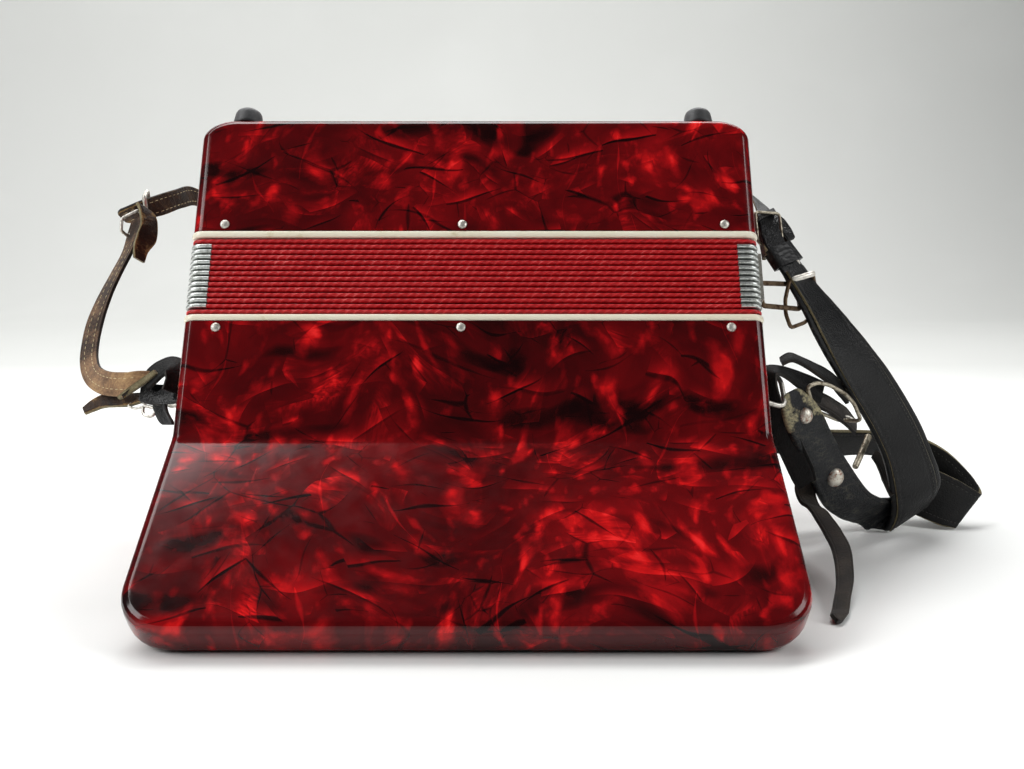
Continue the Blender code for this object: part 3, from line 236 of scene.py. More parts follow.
def pearl_celluloid(name, roughness):
    """Celluloid stirred with fish-scale pearl: dark clouds, smears and fine creases, with fire beside them."""
    look = new_look(name, "#641016", roughness, IOR=1.5, Specular_IOR_Level=0.32)
    spot = add(look, "TexCoord").outputs["Object"]
    stir = add(look, "TexNoise", {"Vector": spot, "Scale": 0.36 / PEARL_BEND, "Detail": 1.5})
    push = add(look, "VectorMath", (stir.outputs["Color"], (0.5, 0.5, 0.5)), operation="SUBTRACT")
    far = add(look, "VectorMath", {0: push, "Scale": 2.0 * PEARL_BEND}, operation="SCALE")
    bent = add(look, "VectorMath", (spot, far), operation="ADD")

    cloud = add(look, "TexNoise", {"Vector": bent, "Scale": 10.0, "Detail": 2.0, "Roughness": 0.5})
    grey = add(look, "TexNoise", {"Vector": bent, "Scale": 60.0, "Detail": 3.0, "Roughness": 0.5})
    level = add(look, "Math", (cloud, 0.62, -0.145), operation="MULTIPLY_ADD")
    level = add(look, "Math", (grey, 0.30, level), operation="MULTIPLY_ADD")
    upright = add(look, "Mapping", {"Vector": bent, "Rotation": (0.0, 0.45, 0.0), "Scale": (1.35, 1.0, 0.8)})
    for scale, low, high, fire in PEARL_FIRES:
        flare = add(look, "TexNoise", {"Vector": upright, "Scale": scale, "Detail": 1.0, "Roughness": 0.4})
        torn = add(look, "TexNoise", {"Vector": bent, "Scale": 3.4 * scale, "Detail": 3.0, "Roughness": 0.6})
        edge = add(look, "Math", (torn, 0.22, flare), operation="MULTIPLY_ADD")
        fired = add(look, "MapRange", (edge, low + 0.11, high + 0.11, 0.0, fire))
        level = add(look, "Math", (level, fired), operation="ADD")

    for size, squeeze, fire, ink in ((PEARL_CHIP, 0.62, 0.44, 0.20), (PEARL_CHIP * 0.52, 0.72, 0.34, 0.14)):
        pressed = add(look, "Mapping", {"Vector": bent, "Rotation": (0, 0.25, 0), "Scale": (squeeze, 1, 1)})
        chip = add(look, "TexVoronoi", {"Vector": pressed, "Scale": 1 / size})
        brink = add(look, "TexVoronoi", {"Vector": pressed, "Scale": 1 / size}, feature="DISTANCE_TO_EDGE")
        pick = add(look, "SeparateColor", (chip.outputs["Color"],))
        angle = add(look, "Math", (pick.outputs[0], math.pi), operation="MULTIPLY")
        way = add(look, "VectorRotate", {"Vector": bent, "Axis": PEARL_FACING, "Angle": angle})
        comb = add(look, "VectorMath", (way, (0.10, 1.0, 1.0)), operation="MULTIPLY")
        hairs = add(look, "TexNoise", {"Vector": comb, "Scale": 1 / PEARL_HAIR, "Detail": 1.5})
        strands = add(look, "MapRange", (hairs, 0.35, 0.65, 0.35, 1.0))
        broken = add(look, "TexNoise", {"Vector": bent, "Scale": 1.3 / size, "Detail": 2.0, "Roughness": 0.6})
        along = add(look, "MapRange", (broken, 0.48, 0.68, 0.0, 1.0))
        depth = add(look, "MapRange", (brink, 0.01, 0.26, 1.0, 0.0))
        chosen = add(look, "MapRange", (pick.outputs[1], 0.56, 0.92, 0.0, fire))
        glow = add(look, "Math", (depth, along), operation="MULTIPLY")
        glow = add(look, "Math", (glow, chosen), operation="MULTIPLY")
        glow = add(look, "Math", (glow, strands), operation="MULTIPLY")
        level = add(look, "Math", (level, glow), operation="ADD")

        where = add(look, "TexNoise", {"Vector": spot, "Scale": 0.85 / size, "Detail": 1.0})
        wide = add(look, "MapRange", (where, 0.58, 0.74, 0.0004, 0.040))
        share = add(look, "Math", (brink, wide), operation="DIVIDE")
        crease_line = add(look, "MapRange", (share, 0.25, 1.0, ink, 0.0))
        level = add(look, "Math", (level, crease_line), operation="SUBTRACT")

    for size, first_turn, spread, half, reach, ink, fire in PEARL_STREAKS:
        cell = add(look, "TexVoronoi", {"Vector": bent, "Scale": 1 / size})
        pick = add(look, "SeparateColor", (cell.outputs["Color"],))
        inside = add(look, "VectorMath", (bent, cell.outputs["Position"]), operation="SUBTRACT")
        angle = add(look, "Math", (pick.outputs[0], spread, first_turn), operation="MULTIPLY_ADD")
        way = add(look, "VectorRotate", {"Vector": inside, "Axis": PEARL_FACING, "Angle": angle})
        along = add(look, "SeparateXYZ", (way,))
        along = add(look, "Math", (along,), operation="ABSOLUTE")
        taper = add(look, "MapRange", (along, 0.0, reach, 1.0, 0.0))
        across = add(look, "VectorMath", (way, PEARL_UP), operation="DOT_PRODUCT")
        beside = add(look, "Math", (across.outputs["Value"],), operation="ABSOLUTE")
        slim = add(look, "Math", (taper, half, 0.0001), operation="MULTIPLY_ADD")
        share = add(look, "Math", (beside, slim), operation="DIVIDE")
        line = add(look, "MapRange", (share, 0.4, 1.3, ink or fire, 0.0))
        kept = add(look, "MapRange", (pick.outputs[1], 0.50, 0.80, 0.0, 1.0))
        drawn = add(look, "Math", (line, kept), operation="MULTIPLY")
        level = add(look, "Math", (level, drawn), operation="ADD")
        if ink:
            wedge = add(look, "MapRange", (across.outputs["Value"], half, 8 * half, fire, 0.0))
            over = add(look, "Math", (across.outputs["Value"], 0.8 * half), operation="GREATER_THAN")
            wedge = add(look, "Math", (wedge, over), operation="MULTIPLY")
            wedge = add(look, "Math", (wedge, taper), operation="MULTIPLY")
            lit = add(look, "MapRange", (pick.outputs[2], 0.45, 0.85, 0.0, 1.0))
            wedge = add(look, "Math", (wedge, lit), operation="MULTIPLY")
            level = add(look, "Math", (level, wedge), operation="ADD")

    stretched = add(look, "Mapping", {"Vector": bent, "Rotation": (0, -0.2, 0), "Scale": (0.28, 1.0, 1.0)})
    smear = add(look, "TexNoise", {"Vector": stretched, "Scale": 42.0, "Detail": 2.0, "Roughness": 0.5})
    shade = add(look, "MapRange", (smear, 0.58, 0.70, 0.0, 0.30))
    level = add(look, "Math", (level, shade), operation="SUBTRACT")
    stops = [
        (0.00, "#160304"),
        (0.14, "#2C0506"),
        (0.28, "#4C0609"),
        (0.42, "#6A080C"),
        (0.58, "#960D12"),
        (0.76, "#CE1618"),
        (1.00, "#F42C2B"),
    ]
    color = add(look, "ValToRGB", (level,), stops)
    rub = add(look, "TexNoise", {"Vector": spot, "Scale": 90.0, "Detail": 5.0, "Roughness": 0.7})
    gloss = add(look, "MapRange", (rub, 0.3, 0.8, roughness * 0.8, roughness * 1.6))
    ripple = add(look, "TexNoise", {"Vector": spot, "Scale": 28.0, "Detail": 1.0})
    bump = add(look, "Bump", {"Height": ripple, "Strength": 0.05, "Distance": 0.004})
    join(look, Base_Color=color, Roughness=gloss, Normal=bump)
    return look


def eased(node, new_name, look, width, body, angles):
    """A CAD piece merged, with the edges between the two angles rounded by width."""
    bm = bmesh.new()
    bm.from_mesh(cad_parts[node].data)
    bmesh.ops.remove_doubles(bm, verts=bm.verts, dist=1e-5)
    bmesh.ops.dissolve_limit(bm, angle_limit=math.radians(0.6), verts=bm.verts, edges=bm.edges)
    picked = [
        e for e in bm.edges
        if e.is_manifold and angles[0] < math.degrees(e.calc_face_angle(0)) < angles[1]
        and e.calc_length() > width
    ]
    bmesh.ops.bevel(
        bm, geom=picked, offset=width, segments=2, profile=0.5, affect="EDGES", material=-1,
        clamp_overlap=True,
    )
    made = piece(new_name, bm, [look], body, [node], 30)
    level = made.modifiers.new("flat_faces", "WEIGHTED_NORMAL")
    level.keep_sharp = True
    return made


celluloid = pearl_celluloid("red_pearl_celluloid", 0.13)
grille_celluloid = pearl_celluloid("red_pearl_grille_celluloid", 0.15)
eased("treble_case", "treble_casing", celluloid, ROUNDING, "treble", (12, 28))
eased("bass_case", "bass_casing", celluloid, ROUNDING, "bass", (8, 28))
eased("grille", "grille_cover", grille_celluloid, ROUNDING, "treble", (8, 28))


# Pins
# Nickelled steel pins with domed heads hold both casings to the bellows, three on the back and three on the
# front of each. They are driven through the casing and stand a little proud.

PIN_XS = (-132.5, -6.5, 132.5)
PIN_ZS = {"treble": 59.0, "bass": 117.3}
PIN_HEAD = 2.45
PIN_PROUD = 1.45
PIN_RIM = 0.25
DOME_TURNS = [k / 5 * 1.5 for k in range(1, 5)]
CASE_DEPTH = 150.0


def mottled(name, color, roughness, stops, cloud, bump=(), dull=0.0, stretch=(), **more):
    """A stuff that wanders between the tones of stops. cloud holds its spots per metre and their detail and
    roughness, bump the strength and depth of its relief, and dull how much rougher the dark spots are."""
    look = new_look(name, color, roughness, **more)
    spot = add(look, "TexCoord").outputs["Object"]
    if stretch:
        spot = add(look, "Mapping", {"Vector": spot, "Scale": stretch})
    scale, detail, grain = cloud
    blot = add(look, "TexNoise", {"Vector": spot, "Scale": scale, "Detail": detail, "Roughness": grain})
    join(look, Base_Color=add(look, "ValToRGB", (blot,), stops))
    if dull:
        join(look, Roughness=add(look, "MapRange", (blot, 0.3, 0.7, roughness * dull, roughness)))
    if bump:
        join(look, Normal=add(look, "Bump", {"Height": blot, "Strength": bump[0], "Distance": bump[1]}))
    return look


def nickel_plate(name, color, roughness, spots):
    """Nickel plate on steel: bright, with fine wiping marks and dull spots where the plate has tarnished."""
    stops = [(0.30, spots), (0.52, color), (0.80, color)]
    return mottled(name, color, roughness, stops, (420.0, 4.0, 0.65), (0.15, 0.0003), 2.0, metallic=1.0)


def lathe(bm, profile, place, axis, sides=32):
    """Turns (radius, height) points in millimetres about an axis at place, and adds the solid to bm."""
    there = set(bm.verts)
    verts = [bm.verts.new((radius / 1000, 0, height / 1000)) for radius, height in profile]
    edges = [bm.edges.new(pair) for pair in zip(verts, verts[1:])]
    bmesh.ops.spin(
        bm, geom=verts + edges, cent=(0, 0, 0), axis=(0, 0, 1), angle=math.tau, steps=sides, use_merge=True
    )
    made = [v for v in bm.verts if v not in there]
    turn = Vector(axis).to_track_quat("Z", "Y").to_matrix()
    bmesh.ops.transform(bm, matrix=Matrix.Translation(place) @ turn.to_4x4(), verts=made)
    bmesh.ops.remove_doubles(bm, verts=made, dist=1e-6)


nickel = nickel_plate("nickel_plated_steel", "#D8D4CC", 0.34, "#8F8A80")
for side, z in PIN_ZS.items():
    heads = bmesh.new()
    dome = [(0, -1.0), (PIN_HEAD, -1.0), (PIN_HEAD, PIN_RIM)]
    dome += [(PIN_HEAD * math.cos(a), PIN_RIM + (PIN_PROUD - PIN_RIM) * math.sin(a)) for a in DOME_TURNS]
    dome.append((0, PIN_PROUD))
    for x in PIN_XS:
        lathe(heads, dome, at(x, 0, z), turned_to(0, -1, 0))
        lathe(heads, dome, at(x, CASE_DEPTH, z), turned_to(0, 1, 0))
    piece(side + "_pins", heads, [nickel], side)


# Ivory strips
# Strips of cream celluloid, one on each side of the bellows, glued round the edge of each casing. They have
# yellowed unevenly, with dirt along the joint.

STRIP_HEIGHTS = {"treble": (62.9, 66.3), "bass": (110.0, 113.4)}
STRIP_PROUD = 0.75
STRIP_EDGE = 0.35
STRIP_DEEP = 8.0
STRIP_TURNS = [math.pi * k / 8 for k in range(9)]
CASE_HALF = 150.0
CORNER_ROUND = 6.0
ARC_STEPS = 8


def sheet_formed(columns, rows, place, measure=None):
    """A grid of columns by rows, each corner put by place, its seams merged. measure gives the UV map."""
    bm = bmesh.new()
    bmesh.ops.create_grid(bm, x_segments=columns, y_segments=rows, size=0.5)
    spots = {v: (round((v.co.x + 0.5) * columns), round((v.co.y + 0.5) * rows)) for v in bm.verts}
    if measure:
        layer = bm.loops.layers.uv.new("UVMap")
        for face in bm.faces:
            for loop in face.loops:
                loop[layer].uv = measure(*spots[loop.vert])
    for v, spot in spots.items():
        v.co = place(*spot)
    bmesh.ops.remove_doubles(bm, verts=bm.verts, dist=1e-6)
    return bm


def round_the_case(inset, straight):
    """Points in millimetres round the casing, inset from its face, with straight cells on each side."""
    radius = max(CORNER_ROUND - inset, 1.0)
    corners = (
        (CASE_HALF, CASE_DEPTH, 1, 1, 0),
        (-CASE_HALF, CASE_DEPTH, -1, 1, 1),
        (-CASE_HALF, 0, -1, -1, 2),
        (CASE_HALF, 0, 1, -1, 3),
    )
    arcs = []
    for x, y, way_x, way_y, quarter in corners:
        middle = (x - way_x * (inset + radius), y - way_y * (inset + radius))
        turns = [(quarter + k / ARC_STEPS) * math.pi / 2 for k in range(ARC_STEPS + 1)]
        arcs.append([(middle[0] + radius * math.cos(a), middle[1] + radius * math.sin(a)) for a in turns])
    points = []
    for k, arc in enumerate(arcs):
        points += arc
        start, end = Vector(arc[-1]), Vector(arcs[(k + 1) % 4][0])
        points += [tuple(start.lerp(end, j / straight)) for j in range(1, straight)]
    return points


def ring_wall(steps, straight, wave=None):
    """A closed ring whose section goes through steps of (height, inset), swept round the casing."""
    rings = [round_the_case(inset, straight) for _, inset in steps]
    count = len(rings[0])

    def place(column, row):
        row %= len(steps)
        x, y = rings[row][column % count]
        z = steps[row][0]
        return at(x, y, z + (wave(x, y, z) if wave else 0))

    def measure(column, row):
        return column * 0.002, row * 0.001

    return sheet_formed(count, len(steps), place, measure)


# Cream celluloid: waxy, darker and browner in the pores.
ivory = mottled("ivory_celluloid_strip", "#F4F0E2", 0.28,
                [(0.24, "#D2C49C"), (0.36, "#EEE6CE"), (0.75, "#F6F0DE")],
                (60.0, 5.0, 0.6), (0.08, 0.0004), IOR=1.5)
for side, (low, high) in STRIP_HEIGHTS.items():
    half = (high - low) / 2
    bead = [(low + half * (1 - math.cos(a)), -STRIP_PROUD * math.sin(a) ** 0.7) for a in STRIP_TURNS]
    bead = [(z, inset + STRIP_EDGE * (1 - inset / -STRIP_PROUD)) for z, inset in bead]
    section = [(low, STRIP_DEEP)] + bead + [(high, STRIP_DEEP)]
    piece(side + "_strip", ring_wall(section, 4), [ivory], side, [side + "_trim"], 50)


# Bellows
# Fourteen folds of stiff card, each ridge bound with red leathercloth tape. Nickelled clips are crimped over
# the four corners of twelve of the folds.

BELLOWS = (66.7, 109.6)
FOLDS = 14
FOLD_HALF = 1.54
FOLD_BACK = 16.0
FOLD = [(0.0, 14.0), (0.40, 2.6), (0.52, 1.3), (0.70, 0.58), (0.98, 0.16), (1.26, 0.03)]
CLIP_FOLDS = range(1, 13)
CLIP_REACH = 5.5
CLIP_CROWN = -0.26
CLIP_METAL = 0.00014
CLIP = [(0.40, 3.4), (0.46, 1.9), (0.56, 0.84), (0.74, 0.22), (0.98, -0.10), (1.26, -0.22)]
TAPE_CORD = 0.0021
TAPE_REACH = 2.0
BAND = 0.314
pitch = (BELLOWS[1] - BELLOWS[0]) / FOLDS


def fold_section(fold, half_fold, crown):
    """Heights and insets over one ridge: in at its low side, over the crown, out at its high side."""
    low = BELLOWS[0] + fold * pitch
    share = pitch / 2 / FOLD_HALF
    rise = [(low + z * share, inset) for z, inset in half_fold]
    return rise + [(low + pitch / 2, crown)] + [(2 * low + pitch - z, inset) for z, inset in reversed(rise)]


def wavy(x, y, z):
    """Small unevenness of the hand-glued folds, in millimetres."""
    return 0.16 * noise.noise((x / 35, y / 35, z / 2.2)) if 68 < z < 108 else 0.0


# Leathercloth: a fine diagonal cord, with pale ticks painted on its ridges as highlights. The scale of a wave
# texture is BAND over the distance between its bands.
tape = new_look("red_leathercloth_tape", "#B8222C", 0.42, IOR=1.5, Specular_IOR_Level=0.35)
tape_spot = add(tape, "TexCoord").outputs["Object"]
tape_turned = add(tape, "Mapping", {"Vector": tape_spot, "Rotation": (LEAN, 0, 0)})
tape_slant = add(tape, "Mapping", {"Vector": tape_turned, "Rotation": (0, -1.1, 0.0)})
tape_cord = add(
    tape, "TexWave", {"Vector": tape_slant, "Scale": BAND / TAPE_CORD, "Distortion": 1.2, "Detail": 2.0},
    bands_direction="X",
)
tape_cloud = add(tape, "TexNoise", {"Vector": tape_spot, "Scale": 110.0, "Detail": 4.0, "Roughness": 0.6})
# Painted highlight: pale pink ticks along the ridges of the cord.
tape_painted_highlight = add(tape, "MapRange", (tape_cord.outputs["Fac"], 0.60, 1.0, 0.0, 0.32))
tape_mix = add(tape, "Math", (tape_painted_highlight, 1.0, 0.12), operation="MULTIPLY_ADD")
tape_sum = add(tape, "Math", (tape_cloud, 0.6, tape_mix), operation="MULTIPLY_ADD")
tape_color = add(
    tape, "ValToRGB", (tape_sum,),
    [(0.25, "#9C1116"), (0.50, "#BE191F"), (0.72, "#D02A2E"), (0.92, "#E8807C")],
)
tape_bump = add(tape, "Bump", {"Height": tape_cord.outputs["Fac"], "Strength": 0.5, "Distance": 0.0005})
join(tape, Base_Color=tape_color, Normal=tape_bump)
# Card of the folds, deep in the grooves: the same cloth, painted almost black as shade.
groove_painted_shade = mottled("bellows_groove_painted_shade", "#4A0A10", 0.7, [(0.3, "#3A070C"), (0.7, "#5E0F16")], (150.0, 4.0, 0.5))

steps = []
for fold in range(FOLDS):
    section = fold_section(fold, FOLD, 0.0)
    steps += section if fold == 0 else section[1:]
steps += [(BELLOWS[1], FOLD_BACK), (BELLOWS[0], FOLD_BACK)]
bellows_mesh = ring_wall(steps, 30, wavy)
bellows_mesh.faces.ensure_lookup_table()
# Faces deeper than the tape take the dark cloth as painted shade of the grooves.
for face in bellows_mesh.faces:
    middle = tipped.inverted() @ (face.calc_center_median() - crease) * 1000
    depth = min(CASE_HALF - abs(middle.x), middle.y, CASE_DEPTH - middle.y)
    face.material_index = 1 if depth > TAPE_REACH else 0
bellows_piece = piece("bellows_folds", bellows_mesh, [tape, groove_painted_shade], None, ["bellows"], 60)
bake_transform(bellows_piece)

clips = bmesh.new()
clip_nickel = nickel_plate("nickelled_bellows_clip", "#D0D3D0", 0.28, "#84867F")
quarter_points = [round_the_case(inset, 2) for _, inset in fold_section(0, CLIP, CLIP_CROWN)]
per_side = ARC_STEPS + 2
for fold in CLIP_FOLDS:
    section = fold_section(fold, CLIP, CLIP_CROWN)
    for quarter in range(4):
        way_x, way_y = ((1, 1), (-1, 1), (-1, -1), (1, -1))[quarter]
        reach_in = Vector((0, -1)) * way_y, Vector((-1, 0)) * way_x
        first_leg, last_leg = (reach_in if quarter % 2 == 0 else reach_in[::-1])

        def clip_place(column, row):
            z, inset = section[row]
            arc = quarter_points[row][quarter * per_side:quarter * per_side + ARC_STEPS + 1]
            if column == 0:
                point = Vector(arc[0]) + first_leg * CLIP_REACH
            elif column == ARC_STEPS + 2:
                point = Vector(arc[-1]) + last_leg * CLIP_REACH
            else:
                point = Vector(arc[column - 1])
            return at(point.x, point.y, z + wavy(point.x, point.y, z))

        made = sheet_formed(ARC_STEPS + 2, len(section) - 1, clip_place)
        bmesh.ops.recalc_face_normals(made, faces=made.faces)
        bmesh.ops.solidify(made, geom=made.faces[:], thickness=-CLIP_METAL)
        holder = bpy.data.meshes.new("clip")
        made.to_mesh(holder)
        made.free()
        clips.from_mesh(holder)
        bpy.data.meshes.remove(holder)
clip_piece = piece("bellows_clips", clips, [clip_nickel], None, (), 60)
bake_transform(clip_piece)


# Grille cloth, boards, reed blocks and axle
# Loosely woven cream cloth is glued behind the grille. The boards and the reed blocks are planed spruce, and
# the keys turn on a drawn steel rod.

WEAVE = 0.0011
# Cloth: loosely woven cotton, pale where threads cross and dark in the gaps between them.
cloth = new_look("grille_cloth", "#C9BC95", 0.9)
cloth_spot = add(cloth, "TexCoord").outputs["Object"]
cloth_x = add(cloth, "TexWave", {"Vector": cloth_spot, "Scale": BAND / WEAVE}, bands_direction="X")
cloth_y = add(cloth, "TexWave", {"Vector": cloth_spot, "Scale": BAND / WEAVE}, bands_direction="Y")
cloth_both = add(cloth, "Math", (cloth_x.outputs["Fac"], cloth_y.outputs["Fac"]), operation="MULTIPLY")
cloth_color = add(cloth, "ValToRGB", (cloth_both,), [(0.0, "#6E6243"), (0.6, "#D6CAA4")])
cloth_bump = add(cloth, "Bump", {"Height": cloth_both, "Strength": 0.6, "Distance": 0.0004})
join(cloth, Base_Color=cloth_color, Normal=cloth_bump)

# Spruce: planed, with straight grain in fine darker lines.
spruce = mottled("planed_spruce", "#C39A62", 0.6, [(0.3, "#9C6F3C"), (0.6, "#CFA871")], (480.0, 3.0, 0.5),
                 stretch=(0.06, 1.0, 1.0))

inner = {"grille_cloth": cloth, "key_axle": nickel}
inner.update({node: spruce for node in ("treble_board", "bass_board", "treble_reeds", "bass_reeds")})
for node, look in inner.items():
    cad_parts[node].data.materials.clear()
    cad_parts[node].data.materials.append(look)


# Keys
# Wooden keys capped in celluloid, cream for the white keys and black for the raised ones. Edges and corners
# are rounded by scraping and buffing.

KEY_ROUND = 0.0007


def key_cap(name, tones, roughness, coat):
    """Buffed celluloid on a wooden key: even in tone, with greasy marks from fingers."""
    return mottled(name, tones[1], roughness, [(0.3, tones[0]), (0.7, tones[1])], (55.0, 4.0, 0.6), (), 1.8,
                   IOR=1.5, Coat_Weight=coat, Coat_Roughness=0.05)


white_cap = key_cap("cream_key_celluloid", ("#DAD2B8", "#EDE8D8"), 0.16, 0.4)
black_cap = key_cap("black_key_celluloid", ("#0E0D0D", "#1B1918"), 0.18, 0.5)
for node in sorted(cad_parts):
    if node.startswith("key_white"):
        eased(node, node + "_cap", white_cap, KEY_ROUND, node, (40, 180))
    elif node.startswith("key_black"):
        eased(node, node + "_cap", black_cap, KEY_ROUND, node, (40, 180))


# Feet and bass buttons
# Turned black rubber feet, pushed over screws. The buttons are turned cream plastic with dished tops, and
# the air button beside them is larger.

FEET = {
    f"foot_{place}_{side}": (x, y)
    for place, y in (("back", 11.5), ("front", 138.5)) for side, x in (("left", -127.8), ("right", 124.0))
}
FOOT = [
    (0, 0.3), (8.0, 0.3), (8.3, 0.7), (8.25, 1.6), (7.5, 6.4), (7.3, 7.5), (6.7, 8.8), (5.5, 9.8),
    (4.0, 10.3), (2.4, 10.4), (2.1, 10.0), (2.0, 6.5), (0, 6.5),
]
BASS_TOP = 182.4
BASS_WALL = 8.3
FLANGE = 1.8

# Rubber: dull, greyed by dust on top and scuffed round the rim.
rubber = mottled("black_rubber", "#26282A", 0.5, [(0.35, "#151617"), (0.55, "#232527"), (0.8, "#53565A")],
                 (240.0, 5.0, 0.65), (0.3, 0.0005), Sheen_Weight=0.2)
for node, (x, y) in FEET.items():
    foot = bmesh.new()
    lathe(foot, FOOT, at(x, y, BASS_TOP), turned_to(0, 0, 1), 48)
    piece(node + "_rubber", foot, [rubber], "bass", [node], 40)

BUTTON_PLACES = {
    f"bass_button_{row + 1}_{column + 1}": ((column - 1.5) * 18 + (row - 0.5) * 6, 30 + row * 16, 4.2, 0.8)
    for row in range(2) for column in range(4)
}
BUTTON_PLACES["air_button"] = (100, 129, 5.5, 5.5)
button_cap = key_cap("cream_button_plastic", ("#D9D0B6", "#EFEADB"), 0.2, 0.3)
for node, (x, y, radius, proud) in BUTTON_PLACES.items():
    cap = bmesh.new()
    top = BASS_TOP + proud
    under = BASS_TOP - BASS_WALL
    low = under - FLANGE
    outline = [
        (0, low - 2 * radius), (radius / 2, low - 2 * radius), (radius / 2, low),
        (radius + FLANGE, low), (radius + FLANGE, under), (radius, under), (radius, top - 0.9),
        (radius - 0.15, top - 0.35), (radius - 0.5, top - 0.08), (radius - 0.95, top),
        (radius - 1.4, top - 0.12), (radius * 0.4, top - 0.5), (0, top - 0.6),
    ]
    lathe(cap, outline, at(x, y, 0), turned_to(0, 0, 1), 40)
    piece(node + "_cap", cap, [button_cap], node, [node], 40)


# Leather straps
# Straps cut from thick cow hide: a smooth finished face that has cracked, a rough flesh side, and cut edges
# where the pale leather shows. Each is swept along its route beside the casing.

LEATHER = 2.6
THIN_LEATHER = 2.08
PAD = 4.3
PAD_CROWN = 0.5
NARROW = 14.5
SLIM = NARROW * 0.85
WIDE = 31.0
FLOOR_CLEAR = 0.0006
STRAP_STEPS = 9
SEAM = 0.74
SEAM_DIP = 0.20
PAD_FLAT = 0.84
HIDE_FLAT = 0.96
RIPPLES = 90
HALF_ACROSS = (0.3, 0.56, 0.68, 0.74, 0.80, 0.88, 0.95, 0.985, 1)
ACROSS = tuple(-f for f in reversed(HALF_ACROSS)) + (0,) + HALF_ACROSS


def between(a, b, c, d, t):
    """Catmull-Rom curve between b and c."""
    bend, twist = 2 * a - 5 * b + 4 * c - d, 3 * b - a - 3 * c + d
    return 0.5 * (2 * b + (c - a) * t + bend * t * t + twist * t ** 3)


def route_of(side, wide, points):
    """Route beside an end of the casing. points hold out, back and up in millimetres, the direction across,
    and the width as a share of wide."""
    return [
        (at(side * (CASE_HALF + out), back, up), turned_to(side * x, y, z), wide * share / 1000)
        for out, back, up, x, y, z, share in points
    ]


def strap_at(route, t):
    """Centre, direction across, normal and width of a strap at place t of its route, counted in points."""
    last = len(route) - 1

    def spot(t):
        k = min(int(t), last - 1)
        picks = [route[max(k - 1, 0)], route[k], route[k + 1], route[min(k + 2, last)]]
        center = between(*[pick[0] for pick in picks], t - k)
        across = between(*[pick[1] for pick in picks], t - k).normalized()
        return center, across, picks[1][2] + (picks[2][2] - picks[1][2]) * (t - k)

    center, across, width = spot(t)
    ahead, behind = spot(min(t + 0.12, last))[0], spot(max(t - 0.12, 0))[0]
    along = (ahead - behind).normalized()
    return center, across, along.cross(across).normalized(), width


def strap_thickness(f, width, thickness, crown):
    """Half the thickness in millimetres at f of the half width: crowned, dipped at seams, rounded at edges."""
    f = abs(f)
    square = PAD_FLAT if thickness > LEATHER else HIDE_FLAT
    edge = math.sqrt(1 - max(0.0, (f - square) / (1.01 - square)) ** 2)
    seam = SEAM_DIP if abs(f - SEAM) < 0.01 else 0.0
    slim = min(1.0, width * 1000 / WIDE) if thickness > LEATHER else 1.0
    return ((thickness / 2 + crown / 2 * (1 - min(f / SEAM, 1.0) ** 3)) * edge - seam) * slim


def floor_lift(center, across, normal, width, thickness):
    """How far a strap has to rise here for all its corners to clear the floor."""
    corners = [
        center + across * (f * width / 2) + normal * (face * thickness / 2000)
        for f in (-1, 1) for face in (-1, 1)
    ]
    return max(0.0, FLOOR_CLEAR - min(corner.z for corner in corners))


def on_strap(route, t, f, face, thickness, crown=0.0):
    """Place and outward direction of a spot on a strap's face, lifted as the strap is."""
    center, across, normal, width = strap_at(route, t)
    rise = strap_thickness(f, width, thickness, crown) / 1000
    point = center + across * (f * width / 2) + normal * (face * rise)
    return point + Vector((0, 0, floor_lift(center, across, normal, width, thickness))), normal * face


def laid_strap(name, route, looks, thickness, crown=0.0, ripple=0.25, body="treble",
               replaces=(), seed=0.0):
    """A strap along a route. looks are for the face along its normal, the other face and the cut edges."""
    rows = STRAP_STEPS * (len(route) - 1)
    half = len(ACROSS)
    count = 2 * half
    stations = [strap_at(route, row / STRAP_STEPS) for row in range(rows + 1)]
    lengths = [0.0]
    for before, after in zip(stations, stations[1:]):
        lengths.append(lengths[-1] + (after[0] - before[0]).length)
    lifts = [floor_lift(*station, thickness) for station in stations]

    def place(column, row):
        column %= count
        center, across, normal, width = stations[row]
        face = 1 if column < half else -1
        f = ACROSS[column] if column < half else ACROSS[count - 1 - column]
        rise = face * strap_thickness(f, width, thickness, crown)
        wave = ripple * noise.noise((lengths[row] * RIPPLES, f * 0.7 + seed, seed))
        point = center + across * (f * width / 2) + normal * ((rise + wave) / 1000)
        return point + Vector((0, 0, lifts[row]))

    def measure(column, row):
        face = 0 if column < half else 1
        f = ACROSS[min(column, half - 1)] if column < half else ACROSS[max(count - 1 - column, 0)]
        return f * stations[row][3] / 2 + face * 0.2 + seed, lengths[row]

    bm = sheet_formed(count, rows, place, measure)
    wear = bm.verts.layers.float.new("edge")
    end = bm.verts.layers.float.new("end")
    spots = {}
    for row in range(rows + 1):
        for column in range(count):
            spots[tuple(round(c, 6) for c in place(column, row))] = (column, row)
    for v in bm.verts:
        column, row = spots.get(tuple(round(c, 6) for c in v.co), (0, 0))
        v[wear] = abs(ACROSS[column] if column < half else ACROSS[count - 1 - column])
        v[end] = min(lengths[row], lengths[-1] - lengths[row])
    bm.faces.ensure_lookup_table()
    for face in bm.faces:
        center = face.calc_center_median()
        columns = [spots.get(tuple(round(c, 6) for c in v.co), (0, 0))[0] for v in face.verts]
        edge_faces = any(c in (0, half - 1, half, count - 1) for c in columns)
        face.material_index = 2 if edge_faces else 0 if all(c < half for c in columns) else 1
    open_edges = [e for e in bm.edges if e.is_boundary]
    for filled in bmesh.ops.holes_fill(bm, edges=open_edges, sides=0)["faces"]:
        filled.material_index = 2
    return piece(name, bm, looks, body, replaces, 50)


